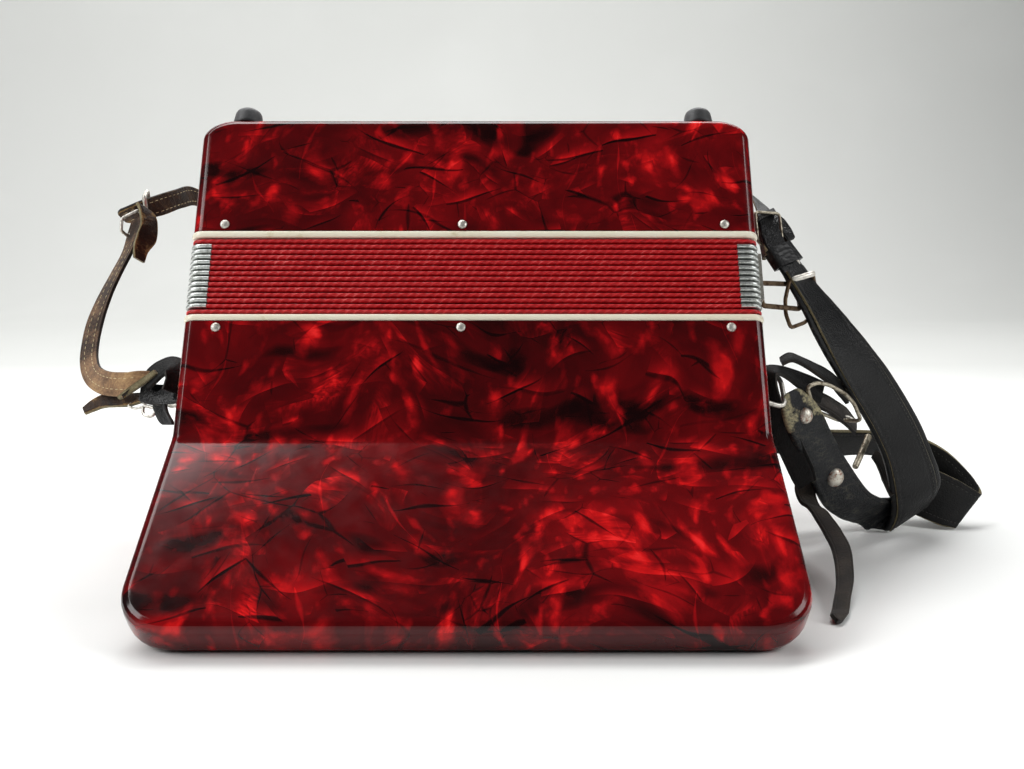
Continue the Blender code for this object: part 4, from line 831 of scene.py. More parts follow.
def hide_leather(name, face, worn, roughness, crack, coat=0.0, peel=0.0, rub=0.30):
    """Finished hide: grain, cracks where it has been bent, and edges and ends worn down to the pale hide.
    worn are the tones in the cracks and of the bare hide."""
    look = new_look(name, face[0], roughness, Specular_IOR_Level=0.22, Coat_Weight=coat, Coat_Roughness=0.25)
    spot = add(look, "UVMap", uv_map="UVMap")
    grain = add(look, "TexVoronoi", {"Vector": spot, "Scale": 1100.0, "Smoothness": 0.6}, feature="SMOOTH_F1")
    blot = add(look, "TexNoise", {"Vector": spot, "Scale": 85.0, "Detail": 5.0, "Roughness": 0.66})
    squeezed = add(look, "Mapping", {"Vector": spot, "Scale": (0.40, 1.0, 1.0)})
    crumple = add(look, "TexNoise", {"Vector": spot, "Scale": 260.0, "Detail": 2.0})
    moved = add(look, "VectorMath", {0: crumple.outputs["Color"], "Scale": 0.004}, operation="SCALE")
    moved = add(look, "VectorMath", (squeezed, moved), operation="ADD")
    cell = add(look, "TexVoronoi", {"Vector": moved, "Scale": 300.0}, feature="DISTANCE_TO_EDGE")
    line = add(look, "MapRange", (cell, 0.0, 0.12, 1.0, 0.0))
    worn_spot = add(look, "MapRange", (blot, 0.48, 0.62, 0.0, crack))
    cracked = add(look, "Math", (line, worn_spot), operation="MULTIPLY")
    rim = add(look, "Attribute", attribute_name="edge").outputs["Fac"]
    tip = add(look, "Attribute", attribute_name="end").outputs["Fac"]
    rubbed = add(look, "MapRange", (rim, 0.86, 1.0, 0.0, rub))
    torn = add(look, "MapRange", (tip, 0.013, 0.026, peel, 0.0))
    outer = add(look, "MapRange", (rim, 0.25, 0.85, 0.45, 1.1))
    torn = add(look, "Math", (torn, outer), operation="MULTIPLY")
    wear = add(look, "Math", (rubbed, torn), operation="ADD")
    wear = add(look, "Math", (wear, blot), operation="ADD")
    bare = add(look, "MapRange", (wear, 0.72, 0.80, 0.0, 1.0))
    both = add(look, "Math", (cracked, bare), operation="MAXIMUM")
    tone = add(look, "ValToRGB", (blot,), [(0.35, face[0]), (0.65, face[1])])
    grimy = add(look, "TexNoise", {"Vector": spot, "Scale": 380.0, "Detail": 3.0, "Roughness": 0.7})
    pale = add(look, "ValToRGB", (grimy,), [(0.38, worn[0]), (0.60, worn[1])])
    mixed = add(look, "Mix", {0: cracked, 6: tone, 7: linear(worn[0])}, data_type="RGBA")
    mixed = add(look, "Mix", {0: bare, 6: mixed.outputs[2], 7: pale}, data_type="RGBA")
    gloss = add(look, "MapRange", (both, 0.0, 1.0, roughness, 0.9))
    pulled = add(look, "Mapping", {"Vector": spot, "Scale": (0.35, 1.0, 1.0)})
    wrinkle = add(look, "TexNoise", {
        "Vector": pulled, "Scale": 240.0, "Detail": 3.0, "Roughness": 0.55, "Distortion": 0.6,
    })
    folded = add(look, "Math", (wrinkle, 6.0 * crack, grain), operation="MULTIPLY_ADD")
    relief = add(look, "Math", (both, -1.2, folded), operation="MULTIPLY_ADD")
    bump = add(look, "Bump", {"Height": relief, "Strength": 0.6, "Distance": 0.0005})
    join(look, Base_Color=mixed.outputs[2], Roughness=gloss, Normal=bump)
    return look


def flesh_side(name, tones, grime=0.0):
    """The rough side of the hide: matt, with loose fibres and stains, grimy from the top of the strap down."""
    look = new_look(name, tones[1], 0.9, Sheen_Weight=0.15, Specular_IOR_Level=0.3)
    spot = add(look, "UVMap", uv_map="UVMap")
    fibre = add(look, "TexNoise", {"Vector": spot, "Scale": 700.0, "Detail": 5.0, "Roughness": 0.7})
    stain = add(look, "TexNoise", {"Vector": spot, "Scale": 70.0, "Detail": 4.0, "Roughness": 0.6})
    mix = add(look, "Math", (fibre, 0.45, 0.0), operation="MULTIPLY_ADD")
    both = add(look, "Math", (stain, 0.6, mix), operation="MULTIPLY_ADD")
    along = add(look, "SeparateXYZ", (spot,)).outputs[1]
    grimy = add(look, "MapRange", (along, 0.085, 0.125, -grime, 0.0))
    dark = add(look, "Math", (both, grimy), operation="ADD")
    color = add(look, "ValToRGB", (dark,), [(0.30, tones[0]), (0.50, tones[1]), (0.68, tones[2])])
    bump = add(look, "Bump", {"Height": fibre, "Strength": 0.7, "Distance": 0.0005})
    join(look, Base_Color=color, Normal=bump)
    return look


dusty = ("#2E2A24", "#5B5344")
black_hide = hide_leather("black_finished_hide", ("#08080A", "#121213"), dusty, 0.36, 0.10,
                          coat=0.12, rub=0.10)
black_dull = hide_leather("black_dull_hide", ("#0A0A0A", "#161515"), dusty, 0.68, 0.25, rub=0.16)
black_cracked = hide_leather("black_cracked_hide", ("#0B0C0E", "#17191D"), ("#5E5B50", "#A89F7E"), 0.5, 0.6,
                             coat=0.04, peel=0.40, rub=0.14)
brown_hide = hide_leather("brown_stained_hide", ("#21150E", "#3E2A1C"), ("#6E5236", "#A08358"), 0.5, 0.6,
                          peel=0.2)
tan_flesh = flesh_side("tan_flesh_side", ("#33231A", "#86664A", "#B79468"), 0.20)
dark_flesh = flesh_side("dark_flesh_side", ("#14110F", "#231D18", "#3C332A"))
cut_edge = flesh_side("cut_hide_edge", ("#3A3224", "#6E6448", "#9A9070"))
dark_edge = flesh_side("inked_hide_edge", ("#0C0A09", "#171310", "#33291E"))

PAD_ROUTE = route_of(1, NARROW, [
    (13, 62, 168, 0.36, 0.80, 0.48, 0.3), (14, 53, 158, 0.42, 0.74, 0.52, 0.8),
    (15, 43, 146, 0.62, 0.56, 0.54, 1), (16, 38, 134, 0.78, 0.36, 0.50, 1),
    (19, 35, 120, 0.82, 0.30, 0.48, 1), (27, 36, 107, 0.78, 0.42, 0.46, 1.2),
]) + route_of(1, WIDE, [
    (33, 39, 98, 0.72, 0.52, 0.44, 0.72), (42, 46, 89, 0.69, 0.50, 0.52, 0.88),
    (51, 55, 81, 0.74, 0.44, 0.51, 1), (64, 67, 69, 0.86, 0.27, 0.43, 1),
    (80, 82, 54, 0.96, 0.09, 0.27, 1), (98, 100, 35, 0.99, 0.04, 0.14, 1),
    (109, 112, 17, 0.99, 0.05, 0.12, 1), (114, 120, 4, 0.95, -0.02, 0.32, 1.05),
    (115, 125, -6, 0.86, -0.09, 0.50, 1.15), (111, 131, -14, 0.84, -0.10, 0.53, 1.15),
    (104, 135, -14, 0.85, -0.08, 0.52, 1.15), (96, 131, -11, 0.87, -0.02, 0.49, 1.10),
    (86, 124, -12, 0.90, 0.07, 0.43, 1), (76, 114, -12, 0.93, 0.13, 0.37, 1),
    (64, 102, -7, 0.92, 0.22, 0.36, 1), (46, 78, 11, 0.84, 0.44, 0.32, 1),
    (33, 60, 27, 0.80, 0.43, 0.42, 0.95), (28, 54.5, 34, 0.80, 0.40, 0.45, 0.78),
    (25.2, 51.5, 39, 0.80, 0.38, 0.47, 0.48), (24.4, 51, 40.6, 0.80, 0.38, 0.47, 0.25),
])
BACK_ROUTE = route_of(-1, NARROW, [
    (76, 93, 168, -0.20, 0.97, -0.10, 0.6), (73, 93, 169, -0.20, 0.97, -0.10, 1),
    (65, 92, 172, -0.15, 0.97, -0.18, 1), (56, 97, 178, -0.27, 0.86, -0.44, 1),
    (48, 112, 191, -0.13, 0.89, -0.44, 1), (44, 132, 203, -0.17, 0.77, -0.61, 1),
    (32, 156, 203, -0.10, 0.50, -0.86, 1), (8, 163, 190, 0.00, 0.20, -0.98, 1),
    (-20, 159, 178, 0.00, 0.05, -1.00, 1), (-75, 156, 160, 0.00, 0.00, -1.00, 1),
    (-150, 155, 152, 0.00, 0.00, -1.00, 1), (-225, 156, 158, 0.00, 0.00, -1.00, 1),
    (-280, 159, 172, 0.00, 0.05, -1.00, 1), (-308, 160, 180, 0.00, -0.20, -0.98, 1),
    (-322, 130, 182, -0.20, -0.60, -0.77, 1), (-321, 84, 166, -0.36, -0.80, -0.48, 1),
    (-320, 66, 152, -0.50, -0.66, -0.54, 1), (-320, 58, 144, -0.60, -0.60, -0.50, 1),
])
LEFT_ROUTE = route_of(-1, NARROW, [
    (63, 89, 166, 0.80, 0.58, -0.10, 1), (65, 90, 157, 0.78, 0.60, 0.10, 1),
    (69, 92, 144, 0.66, 0.70, 0.25, 1), (76, 94, 128, 0.66, 0.68, 0.28, 1),
    (81, 94, 113, 0.76, 0.60, 0.25, 1), (83.5, 92, 98, 0.87, 0.47, 0.12, 0.95),
    (83.5, 89, 84, 0.90, 0.43, -0.05, 0.92), (81, 84, 70, 0.86, 0.42, -0.30, 0.92),
    (74, 76, 58, 0.66, 0.42, -0.62, 0.95), (62, 66, 50, 0.42, 0.38, -0.82, 1),
    (48, 58, 46.5, 0.30, 0.30, -0.90, 1), (39.5, 55, 46, 0.76, 0.05, -0.64, 1.5),
])
TAIL_ROUTE = route_of(1, SLIM, [
    (22, 59.0, 33.9, 0.84, 0.44, 0.32, 0.8), (26.5, 64.9, 27, 0.84, 0.44, 0.32, 1),
    (37.8, 78.6, 11, 0.84, 0.44, 0.32, 1), (38.6, 89.4, -2.2, 0.92, 0.25, 0.30, 1),
    (39.8, 93.2, -9.4, 0.97, 0.20, -0.10, 1), (41, 90, -15.8, 0.95, 0.20, -0.20, 1),
    (43, 82, -21, 0.94, 0.25, -0.20, 1), (44, 63, -36, 0.91, 0.35, 0.00, 1),
    (43, 47, -49, 0.90, 0.42, 0.10, 1), (37, 27, -66, 0.85, 0.50, 0.12, 1),
    (29, 10, -79, 0.82, 0.55, 0.14, 1), (24, 0, -88, 0.83, 0.55, 0.05, 1),
    (22, -6, -92, 0.83, 0.55, 0.05, 0.25),
])
SECOND_ROUTE = route_of(1, WIDE, [
    (2.1, 97, 50, 0.00, 1.00, -0.02, 0.6), (2.1, 99, 42, 0.00, 0.99, -0.10, 0.8),
    (5, 101, 34.5, 0.10, 0.97, -0.20, 0.9), (14, 104.5, 30.5, 0.18, 0.95, -0.25, 1),
    (31, 111, 28, 0.21, 0.94, -0.25, 1), (60, 122, 29, 0.24, 0.93, -0.27, 1),
    (96, 137, 33, 0.28, 0.93, -0.24, 1), (122, 146, 30, 0.10, 0.90, -0.42, 1),
    (138, 149, 19, -0.22, 0.70, -0.68, 1), (148, 149, 7, -0.42, 0.42, -0.80, 1),
    (154, 146, -4, -0.60, 0.05, -0.80, 1), (153, 141.5, -9, -0.68, -0.12, -0.72, 1),
    (147, 138.5, -8, -0.64, -0.04, -0.77, 1), (138, 137, -4, -0.45, 0.10, -0.88, 1),
    (126, 138, 2, -0.28, 0.22, -0.93, 1), (113, 141, 8, -0.18, 0.32, -0.93, 0.9),
])

laid_strap("shoulder_strap_pad", PAD_ROUTE, (black_hide, black_cracked, black_cracked), PAD, PAD_CROWN,
           replaces=["shoulder_strap"], seed=1.3)
laid_strap("back_strap_leather", BACK_ROUTE, (tan_flesh, brown_hide, dark_edge), THIN_LEATHER,
           replaces=["back_strap"], seed=2.1)
laid_strap("left_strap_leather", LEFT_ROUTE, (brown_hide, tan_flesh, dark_edge), THIN_LEATHER, ripple=0.12,
           replaces=["left_strap"], seed=0.0)
laid_strap("strap_tail_leather", TAIL_ROUTE, (dark_flesh, black_hide, dark_edge), THIN_LEATHER,
           replaces=["strap_tail"], seed=4.2)
laid_strap("second_strap_leather", SECOND_ROUTE, (black_dull, black_dull, cut_edge), LEATHER,
           replaces=["second_strap"], seed=5.6)


def facing_camera(route, t):
    """Which face of a strap is turned to the player's side."""
    return 1 if strap_at(route, t)[2].dot(CAMERA_PLACE.normalized()) > 0 else -1


# The outer face of the wide strap is a second, narrower strap of smooth hide, sewn onto the padding.
FACE_LEATHER = 1.7
FACE_SUNK = 0.2
FACE_SHARE = 0.80
FACE_ROUTE = []
for k in range(5, 16):
    spot, outward = on_strap(PAD_ROUTE, k, -0.06, facing_camera(PAD_ROUTE, 10), PAD, PAD_CROWN)
    middle = spot + outward * (FACE_LEATHER / 2 - FACE_SUNK) / 1000
    FACE_ROUTE.append((middle, PAD_ROUTE[k][1], PAD_ROUTE[k][2] * FACE_SHARE))
laid_strap("shoulder_strap_face", FACE_ROUTE, (black_hide, black_hide, cut_edge), FACE_LEATHER,
           ripple=0.05, seed=8.4)


# Seams
# The wide straps are layers of hide sewn together with waxed black thread near both edges. The narrow strap
# is sewn with pale linen thread, which has frayed in places.

PAD_SEW = (0.24, 0.95, 0.24, 2.7)
LINEN_SEW = (0.24, 1.45, 0.20, 4.0)
EDGE_SEAMS = (-0.84, 0.84)
WIDE_SEAMS = (-SEAM, SEAM)
LEFT_SEAMS = (-0.48, 0.40)
BACK_SEAMS = (-0.56, 0.56)


def thread(name, tones):
    """Waxed linen: twisted strands, darker where dirt has gone in."""
    return mottled(name, tones[1], 0.6, [(0.35, tones[0]), (0.65, tones[1])], (900.0, 3.0, 0.5))


def spaced(route, gap, start, end):
    """Places t at equal distances of gap millimetres between two places of a route."""
    steps = 40 * (len(route) - 1)
    places, walked = [], 0.0
    before = strap_at(route, start)[0]
    for k in range(1, steps + 1):
        t = start + (end - start) * k / steps
        here = strap_at(route, t)[0]
        walked += (here - before).length * 1000
        before = here
        if walked >= gap * (len(places) + 0.5):
            places.append(t)
    return places


def sew(name, route, look, size, rows, faces, thickness, crown, start, end,
        body="treble"):
    """Rows of stitches on faces of a strap. size is their half width, half length, half height and gap."""
    round_stitch = bmesh.new()
    bmesh.ops.create_uvsphere(round_stitch, u_segments=6, v_segments=4, radius=0.001)
    stitch = bpy.data.meshes.new(name + "_stitch")
    round_stitch.to_mesh(stitch)
    bm = bmesh.new()
    last = len(route) - 1
    for t in spaced(route, size[3], start, end):
        along = (strap_at(route, min(t + 0.05, last))[0] - strap_at(route, max(t - 0.05, 0))[0]).normalized()
        for f in rows:
            for face in faces:
                spot, outward = on_strap(route, t, f, face, thickness, crown)
                across = along.cross(outward).normalized()
                turn = Matrix((across * size[0], along * size[1], outward * size[2])).transposed().to_4x4()
                laid = stitch.copy()
                laid.transform(Matrix.Translation(spot) @ turn)
                bm.from_mesh(laid, face_normals=False, vertex_normals=False)
                bpy.data.meshes.remove(laid)
    return piece(name, bm, [look], body)


black_thread = thread("waxed_black_thread", ("#030303", "#45423C"))
pale_thread = thread("pale_linen_thread", ("#A08C64", "#E0D0A4"))
sew("shoulder_strap_seams", FACE_ROUTE, black_thread, PAD_SEW, EDGE_SEAMS,
    (facing_camera(FACE_ROUTE, 5),), FACE_LEATHER, 0.0, 1.5, 9.9)
sew("strap_lining_seams", PAD_ROUTE, black_thread, PAD_SEW, WIDE_SEAMS, (1, -1), PAD, PAD_CROWN, 16.0, 22.0)
sew("second_strap_seams", SECOND_ROUTE, black_thread, PAD_SEW, WIDE_SEAMS, (1, -1), LEATHER, 0.0, 1.5, 14.5)
sew("left_strap_seams", LEFT_ROUTE, pale_thread, LINEN_SEW, LEFT_SEAMS, (-1,), THIN_LEATHER, 0.0, 1.6, 10.4)
sew("back_strap_seams", BACK_ROUTE, pale_thread, LINEN_SEW, BACK_SEAMS, (1, -1), THIN_LEATHER, 0.0, 1.0, 16.0)


# Rivets and keepers
# Domed steel rivets, nickelled and beginning to rust, clench the doubled end of the wide strap. Narrow
# leather keepers hold the loose ends of the straps down beside their buckles.

RIVET = [(0, -1.2), (4.3, -1.2), (4.4, 0.0), (4.1, 0.9), (3.3, 1.75), (1.9, 2.3), (0, 2.5)]
KEEPER_CLEAR = 0.5
KEEPER_THICK = 1.3
KEEPER_SIDES = 20
KEEPER_SQUARE = 0.35
KEEPER_WEAR = 0.5

rusty = nickel_plate("rusting_nickel_plate", "#CFCBC0", 0.38, "#8A4A22")
rivets = bmesh.new()
for t, size in ((22.15, 1.04), (20.5, 1.28)):
    for face, grown in ((facing_camera(PAD_ROUTE, t), size), (-facing_camera(PAD_ROUTE, t), 0.6 * size)):
        spot, outward = on_strap(PAD_ROUTE, t, 0.0, face, PAD, PAD_CROWN)
        toward = (outward + face * facing_camera(PAD_ROUTE, t) * CAMERA_PLACE.normalized() * 0.7).normalized()
        lathe(rivets, [(radius * grown, height * grown) for radius, height in RIVET], spot, toward, 28)
piece("strap_rivets", rivets, [rusty], "treble")


def keeper(name, route, start, end, thickness, looks):
    """A band of leather round a strap, between two places of its route."""

    def place(column, row):
        t, grown = [(start, 0.0), (start, KEEPER_THICK), (end, KEEPER_THICK), (end, 0.0)][row % 4]
        center, across, normal, width = strap_at(route, t)
        turn = (column % KEEPER_SIDES + 0.5) * math.tau / KEEPER_SIDES
        reach = width / 2 + (KEEPER_CLEAR + grown) / 1000
        rise = (thickness / 2 + KEEPER_CLEAR + grown) / 1000
        side = math.copysign(abs(math.cos(turn)) ** KEEPER_SQUARE, math.cos(turn))
        up = math.copysign(abs(math.sin(turn)) ** KEEPER_SQUARE, math.sin(turn))
        return center + across * (side * reach) + normal * (up * rise)

    def measure(column, row):
        return column * 0.003, row * 0.006

    bm = sheet_formed(KEEPER_SIDES, 4, place, measure)
    for layer in ("edge", "end"):
        held = bm.verts.layers.float.new(layer)
        for v in bm.verts:
            v[held] = KEEPER_WEAR
    return piece(name, bm, looks, "treble", (), 50)


keeper("right_buckle_keeper", PAD_ROUTE, 4.0, 4.75, 3.4, [black_hide])
keeper("right_upper_keeper", PAD_ROUTE, 2.2, 2.5, 3.0, [black_hide])


# Straps on the rings
# Short black straps and a torn strip are looped through the two rings and buckles. Their surface has peeled
# and the cut ends have dried out and curled.

RING_STRAPS = {
    "right_upper_loop": (1, 13.0, (black_dull, dark_flesh, dark_edge), [
        (20, 50, 57.5, 0.10, 0.80, 0.60, 0.9), (27, 53, 61, 0.10, 0.80, 0.60, 1.0),
        (36, 58, 59, 0.15, 0.76, 0.63, 1.0), (43, 62, 57, 0.20, 0.72, 0.66, 1.1),
        (51, 68, 54.5, 0.25, 0.68, 0.68, 1.1), (58, 74, 51, 0.30, 0.66, 0.68, 1.1),
        (66, 82, 45, 0.35, 0.66, 0.66, 0.9),
    ]),
    "right_ring_strap": (1, 13.0, (black_dull, black_dull, dark_edge), [
        (48, 72, 46, 0.35, 0.45, 0.82, 1.4), (39, 66, 48.5, 0.25, 0.50, 0.82, 1.4),
        (29, 59, 51, 0.05, 0.60, 0.80, 1.2), (20, 52, 52.5, -0.10, 0.70, 0.70, 1.0),
        (13, 47.5, 51, -0.40, 0.75, 0.50, 1.0), (10.5, 46.5, 46, -0.60, 0.75, 0.25, 1.0),
        (11, 48, 39, -0.68, 0.70, 0.05, 1.0), (14, 52, 31, -0.75, 0.60, -0.20, 1.0),
        (20, 59, 21, -0.80, 0.48, -0.35, 1.1), (27, 67, 10, -0.80, 0.45, -0.40, 1.1),
        (34, 75, -1, -0.80, 0.45, -0.40, 1.1), (37, 79, -6, -0.80, 0.45, -0.40, 0.9),
    ]),
    "right_buckle_backing": (1, 13.0, (dark_flesh, dark_flesh, dark_edge), [
        (36, 64, 44, 0.10, 0.45, 0.88, 0.8), (44, 70, 42, 0.20, 0.45, 0.86, 1.0),
        (54, 77, 39.5, 0.25, 0.45, 0.85, 1.0), (64, 85, 36, 0.30, 0.45, 0.84, 1.0),
        (72, 92, 31, 0.30, 0.45, 0.84, 0.8),
    ]),
    "right_tongue": (1, 8.0, (black_hide, black_hide, dark_edge), [
        (20.5, 47, 146, 0.80, 0.30, 0.50, 0.7), (24, 45, 141, 0.80, 0.30, 0.50, 1.0),
        (27, 43, 134, 0.80, 0.30, 0.50, 1.0), (29, 41.5, 128, 0.80, 0.30, 0.50, 0.8),
    ]),
    "right_buckle_return": (1, 11.0, (tan_flesh, tan_flesh, cut_edge), [
        (7, 45, 142.5, 0.12, 0.97, 0.20, 0.9), (10.5, 43, 137.5, 0.12, 0.97, 0.20, 1.0),
        (12.5, 41, 131.5, 0.05, 0.98, 0.15, 1.0), (12.6, 39, 123.8, 0.05, 0.98, 0.15, 1.0),
        (12.6, 37, 115, 0.05, 0.98, 0.15, 1.0),
    ]),
    "torn_stub": (1, 12.0, (dark_flesh, black_cracked, dark_edge), [
        (94, 129, 24, 0.55, 0.50, 0.66, 0.5), (98, 127, 18, 0.60, 0.45, 0.66, 1.0),
        (101, 125, 10, 0.80, 0.30, 0.50, 1.1), (101, 122, 1, 0.90, 0.20, 0.35, 0.7),
        (100, 120, -4, 0.90, 0.20, 0.35, 0.3),
    ]),
    "left_ring_tab": (-1, 18.0, (black_dull, black_dull, dark_edge), [
        (35, 54, 45, 0.55, 0.60, 0.55, 0.7), (30.5, 52, 50, 0.55, 0.60, 0.55, 0.95),
        (25.5, 50, 53.5, 0.45, 0.64, 0.62, 1.0), (20.5, 48, 55, 0.10, 0.68, 0.72, 1.0),
        (16.5, 46.5, 52.5, -0.45, 0.68, 0.55, 0.9), (14.5, 46.5, 46, -0.70, 0.70, 0.10, 0.8),
        (15.5, 47.5, 38, -0.70, 0.70, -0.10, 0.9),
    ]),
    "left_ring_strap": (-1, 14.0, (black_hide, black_hide, dark_edge), [
        (38, 57, 41, 0.10, 0.35, 0.93, 0.8), (31, 54, 39.5, 0.10, 0.35, 0.93, 1.0),
        (24, 51, 38, 0.10, 0.35, 0.93, 1.0), (14, 48, 37, 0.10, 0.35, 0.93, 0.9),
    ]),
    "left_lower_tab": (-1, 12.0, (black_hide, black_hide, dark_edge), [
        (25, 51, 34, 0.75, 0.55, 0.15, 0.9), (23, 50, 28, 0.75, 0.55, 0.15, 1.0),
        (19.5, 48, 22.5, 0.75, 0.55, 0.15, 1.0), (17.5, 47, 20, 0.75, 0.55, 0.15, 0.7),
    ]),
    "left_strap_end": (-1, 3.6, (cut_edge, cut_edge, cut_edge), [
        (51.5, 61, 39.5, 0.66, 0.10, 0.74, 0.7), (44, 56, 42.5, 0.62, 0.10, 0.78, 1.0),
        (35, 51, 46.5, 0.62, 0.10, 0.78, 1.0), (27.5, 47, 50.5, 0.62, 0.10, 0.78, 0.8),
    ]),
    "left_torn_strip": (-1, 9.0, (brown_hide, tan_flesh, cut_edge), [
        (75, 72, 35, 0.45, 0.35, 0.80, 0.5), (70, 72, 38.5, 0.40, 0.35, 0.84, 0.9),
        (63, 70, 40.5, 0.25, 0.38, 0.88, 1.1), (55, 67, 39.5, 0.10, 0.40, 0.90, 0.9),
        (46, 63, 39, 0.10, 0.40, 0.90, 1.0), (38, 59, 39, 0.10, 0.40, 0.90, 0.8),
    ]),
    "left_buckle_fold": (-1, 13.0, (brown_hide, brown_hide, cut_edge), [
        (60, 85, 171, -0.55, 0.80, -0.20, 0.8), (57, 85, 167, -0.60, 0.78, -0.10, 0.9),
        (55.5, 86, 160, -0.60, 0.78, 0.10, 0.9), (56.5, 87, 151.5, -0.62, 0.76, -0.15, 1.0),
        (59.5, 88, 144.5, -0.55, 0.80, -0.20, 0.8), (60.5, 89, 137, -0.50, 0.84, -0.10, 0.6),
    ]),
}
for seed, (name, (side, wide, looks, points)) in enumerate(RING_STRAPS.items()):
    slot = "brown_leather" if brown_hide in looks or tan_flesh in looks else "black_leather"
    laid_strap(name, route_of(side, wide, points), looks, THIN_LEATHER, ripple=0.5,
               seed=7.0 + seed)


# Hand strap
# A wide black leather strap, arched over the bass end for the player's left hand. Its narrowed ends lie flat
# on the casing under nickelled plates.

HAND_Y = 90.0
HAND_REACH = 122.0
HAND_RISE = 26.0
HAND_WIDTH = 42.0
HAND_GAP = 0.3
hand_base = BASS_TOP + HAND_GAP + LEATHER / 2
HAND_HALF = [
    (0.0, 1.0, 1.0), (0.30, 0.92, 1.0), (0.60, 0.60, 0.93), (0.80, 0.18, 0.80), (0.90, 0.0, 0.70),
    (0.95, 0.0, 0.66), (1.00, 0.0, 0.62),
]
HAND_ARCH = [(-a, b, c) for a, b, c in HAND_HALF[:0:-1]] + HAND_HALF
HAND_ROUTE = [
    (at(a * HAND_REACH, HAND_Y, hand_base + b * HAND_RISE), turned_to(0, 1, 0), c * HAND_WIDTH / 1000)
    for a, b, c in HAND_ARCH
]
laid_strap("hand_strap_leather", HAND_ROUTE, (black_hide, dark_flesh, dark_edge), LEATHER, ripple=0.0,
           body="bass", replaces=["hand_strap"], seed=6.5)
sew("hand_strap_seams", HAND_ROUTE, black_thread, PAD_SEW, EDGE_SEAMS, (1,), LEATHER, 0.0, 1.2, 10.8,
    body="bass")

PLATE_SIZE = Vector((13.0, 27.0, 0.9))
PLATE_OUT = 0.93 * HAND_REACH
SCREW_OUT = 8.5
SCREW_HEAD = [(0, -0.4), (2.7, -0.4), (2.7, 0.3), (2.3, 0.9), (1.3, 1.25), (0, 1.35)]
plate_nickel = nickel_plate("nickelled_plate", "#BEBBB2", 0.3, "#7A7468")
for side, way in (("left", -1), ("right", 1)):
    plate = bmesh.new()
    bmesh.ops.create_cube(plate, size=0.001, matrix=Matrix.Diagonal((*PLATE_SIZE, 1)))
    upright = [e for e in plate.edges if abs(e.verts[0].co.z - e.verts[1].co.z) > 1e-6]
    bmesh.ops.bevel(plate, geom=upright, offset=0.003, segments=5, profile=0.5, affect="EDGES", material=-1)
    bmesh.ops.bevel(
        plate, geom=plate.edges[:], offset=0.0002, segments=2, profile=0.5, affect="EDGES", material=-1
    )
    plate_top = hand_base + LEATHER / 2 + PLATE_SIZE.z
    middle = at(way * PLATE_OUT, HAND_Y, plate_top - PLATE_SIZE.z / 2)
    bmesh.ops.transform(plate, matrix=Matrix.Translation(middle) @ tipped.to_4x4(), verts=plate.verts)
    for y in (HAND_Y - SCREW_OUT, HAND_Y + SCREW_OUT):
        lathe(plate, SCREW_HEAD, at(way * PLATE_OUT, y, plate_top), turned_to(0, 0, 1), 28)
    piece(f"hand_strap_{side}_plate", plate, [plate_nickel], "bass")


# Buckles, rings and bail
# Bent from nickelled steel wire and closed by brazing. The two rings hang in eyes on the ends of the treble
# case, and the bail in a plate beside the bellows.

WIRE = 1.2
RING_WIRE = 1.4
WIRE_SIDES = 14
BEND_STEPS = (0, 0.2, 0.4, 0.6, 0.8, 1.0)
BAIL_OUT = 0.7 + 2 + RING_WIRE + 0.3
RING_OUT = RING_WIRE + 0.6


def bent_wire(name, corners, radius, corner_round, body, nodes=(), look=nickel):
    """A wire loop through corners, each rounded, from world points. Sizes are millimetres."""
    path = []
    count = len(corners)
    for k, corner in enumerate(corners):
        before = (corners[k - 1] - corner).normalized() * corner_round / 1000
        after = (corners[(k + 1) % count] - corner).normalized() * corner_round / 1000
        path += [corner + before * (1 - t) ** 2 + after * t ** 2 for t in BEND_STEPS]
    facing = (corners[1] - corners[0]).cross(corners[2] - corners[1]).normalized()

    def place(column, row):
        here = path[row % len(path)]
        along = (path[(row + 1) % len(path)] - path[row % len(path) - 1]).normalized()
        out = along.cross(facing).normalized()
        up = out.cross(along)
        angle = column % WIRE_SIDES * math.tau / WIRE_SIDES
        return here + (out * math.cos(angle) + up * math.sin(angle)) * radius / 1000

    return piece(name, sheet_formed(WIRE_SIDES, len(path), place), [look], body, nodes, 60)


def frame_about(route, k, reach_side, reach_along, tilt):
    """Corners of a frame about a strap, one bar in front and the other behind. Sizes are millimetres."""
    center, across, _, _ = strap_at(route, k)
    along = (strap_at(route, k + 1 / 3)[0] - center).normalized()
    side = (across - along * across.dot(along)).normalized()
    normal = along.cross(side)
    return [
        center + (side * a * reach_side + along * b * reach_along + normal * b * tilt) / 1000
        for a, b in ((-1, -1), (1, -1), (1, 1), (-1, 1))
    ]


def beside(side, corners):
    """World points from (out, back, up) places beside an end of the casing, in millimetres."""
    return [at(side * (CASE_HALF + out), back, up) for out, back, up in corners]


def rod(name, ends, near, far, look, sides):
    """A turned rod at the right end. near and far are its (radius, height) points from its two ends."""
    bm = bmesh.new()
    start, end = beside(1, ends)
    length = (end - start).length * 1000
    lathe(bm, near + [(radius, length - height) for radius, height in far], start, end - start, sides)
    piece(name, bm, [look], "treble")


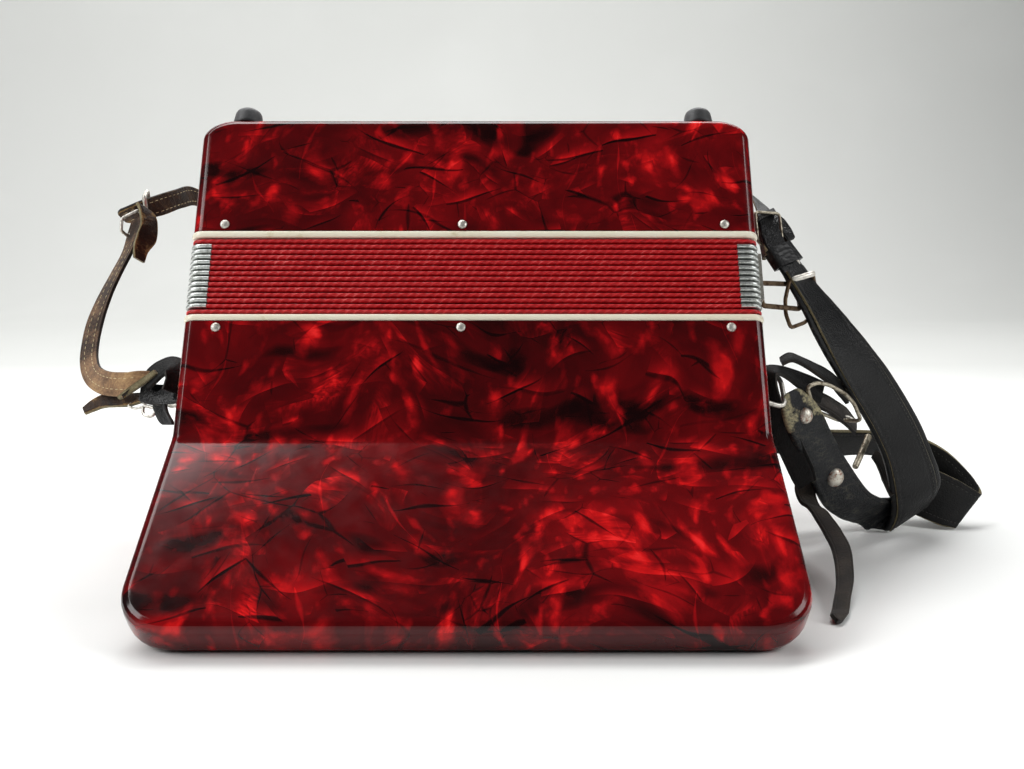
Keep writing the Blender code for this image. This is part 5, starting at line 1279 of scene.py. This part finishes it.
brown_steel = nickel_plate("browned_steel_wire", "#6B5A48", 0.42, "#3A2418")
aged_steel = nickel_plate("aged_steel_wire", "#ABA392", 0.34, "#5C5040")
reach = NARROW / 2 + 2.5 * WIRE
bent_wire("left_buckle_frame", frame_about(BACK_ROUTE, 2.5, reach, 2.4 * WIRE, THIN_LEATHER / 2 + WIRE + 1.2),
          1.15 * WIRE, 1.5 * WIRE, "treble", ["left_buckle"])
bent_wire("left_keeper_wire", beside(-1, [
    (72, 84, 163), (72, 85, 155), (70.5, 93, 155), (60, 93, 167), (62, 83, 168),
]), 0.85 * WIRE, 1.5 * WIRE, "treble")
bent_wire("right_buckle_frame", frame_about(PAD_ROUTE, 3.05, NARROW / 2 + 0.5, 9, -3.4), 0.7 * WIRE, 2.5,
          "treble", ["right_buckle"], aged_steel)
bent_wire("strap_loop", beside(1, [
    (38, 35.5, 104.5), (23.5, 32, 98.5), (20.6, 33, 88), (20.6, 34.5, 80), (23.3, 36.5, 72.5), (33, 43, 78),
    (43, 53, 88), (43, 50, 100),
]), 1.1, 2.2, "treble", ["strap_ring"], brown_steel)
rod("strap_loop_sleeve", [(24.5, 32.0, 98.9), (38.5, 35.4, 104.6)], [(0, 0), (1.5, 0.1), (1.7, 0.6)],
    [(1.7, 0.6), (1.5, 0.1), (0, 0)], nickel, 24)
bent_wire("small_ring", beside(1, [(26, 36, 113.5), (31, 37, 113.5), (32.5, 40, 108), (27, 39, 108)]),
          0.8, 2.2, "treble")
bent_wire("lower_buckle_wire", beside(1, [
    (34, 52, 43.2), (40.5, 54, 46.5), (48.5, 58, 46.3), (58.5, 63, 42.6), (65, 69, 38.6), (71, 78, 31),
    (60, 84, 33), (42, 70, 35),
]), 1.15, 3, "treble", (), aged_steel)
bent_wire("lower_ring", beside(1, [(59, 82, 35), (67, 86, 36), (71, 88, 33.5), (63, 84, 32)]),
          0.7, 2.5, "treble")
rod("strap_prong", [(75.5, 110, 11), (89.5, 120, 33.5)], [(0, 0), (1.7, 0.2), (1.9, 1)],
    [(1.9, 4), (2.2, 3.2), (2.3, 1.5), (1.5, 0.3), (0, 0)], aged_steel, 20)
bent_wire("left_small_buckle", beside(-1, [(46.5, 61, 35), (41, 59, 32.5), (34, 57, 34), (40, 60, 38)]),
          0.7, 2, "treble")
bent_wire("left_lower_ring", beside(-1, [(36, 57, 34), (35, 55, 28), (29, 53, 26), (26.5, 53, 31)]),
          0.9, 2.5, "treble")

bail_x = CASE_HALF + BAIL_OUT
bail = [(bail_x, 20, 79), (bail_x + 27, 42.5, 86), (bail_x + 25.8, 42.5, 101), (bail_x, 22, 93)]
bent_wire("bail_wire", [at(*corner) for corner in bail], RING_WIRE, 3, "wire_bail", ["wire_bail"],
          brown_steel)
for side, way in (("left", -1), ("right", 1)):
    x = way * (CASE_HALF + RING_OUT)
    ring = [(x, 44, 34), (x + way * 18, 48, 30), (x + way * 18, 54, 50), (x, 50, 54)]
    bent_wire(side + "_ring_wire", [at(*corner) for corner in ring], RING_WIRE, 6, side + "_ring",
              [side + "_ring"])

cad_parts["bail_plate"].data.materials.clear()
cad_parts["bail_plate"].data.materials.append(plate_nickel)
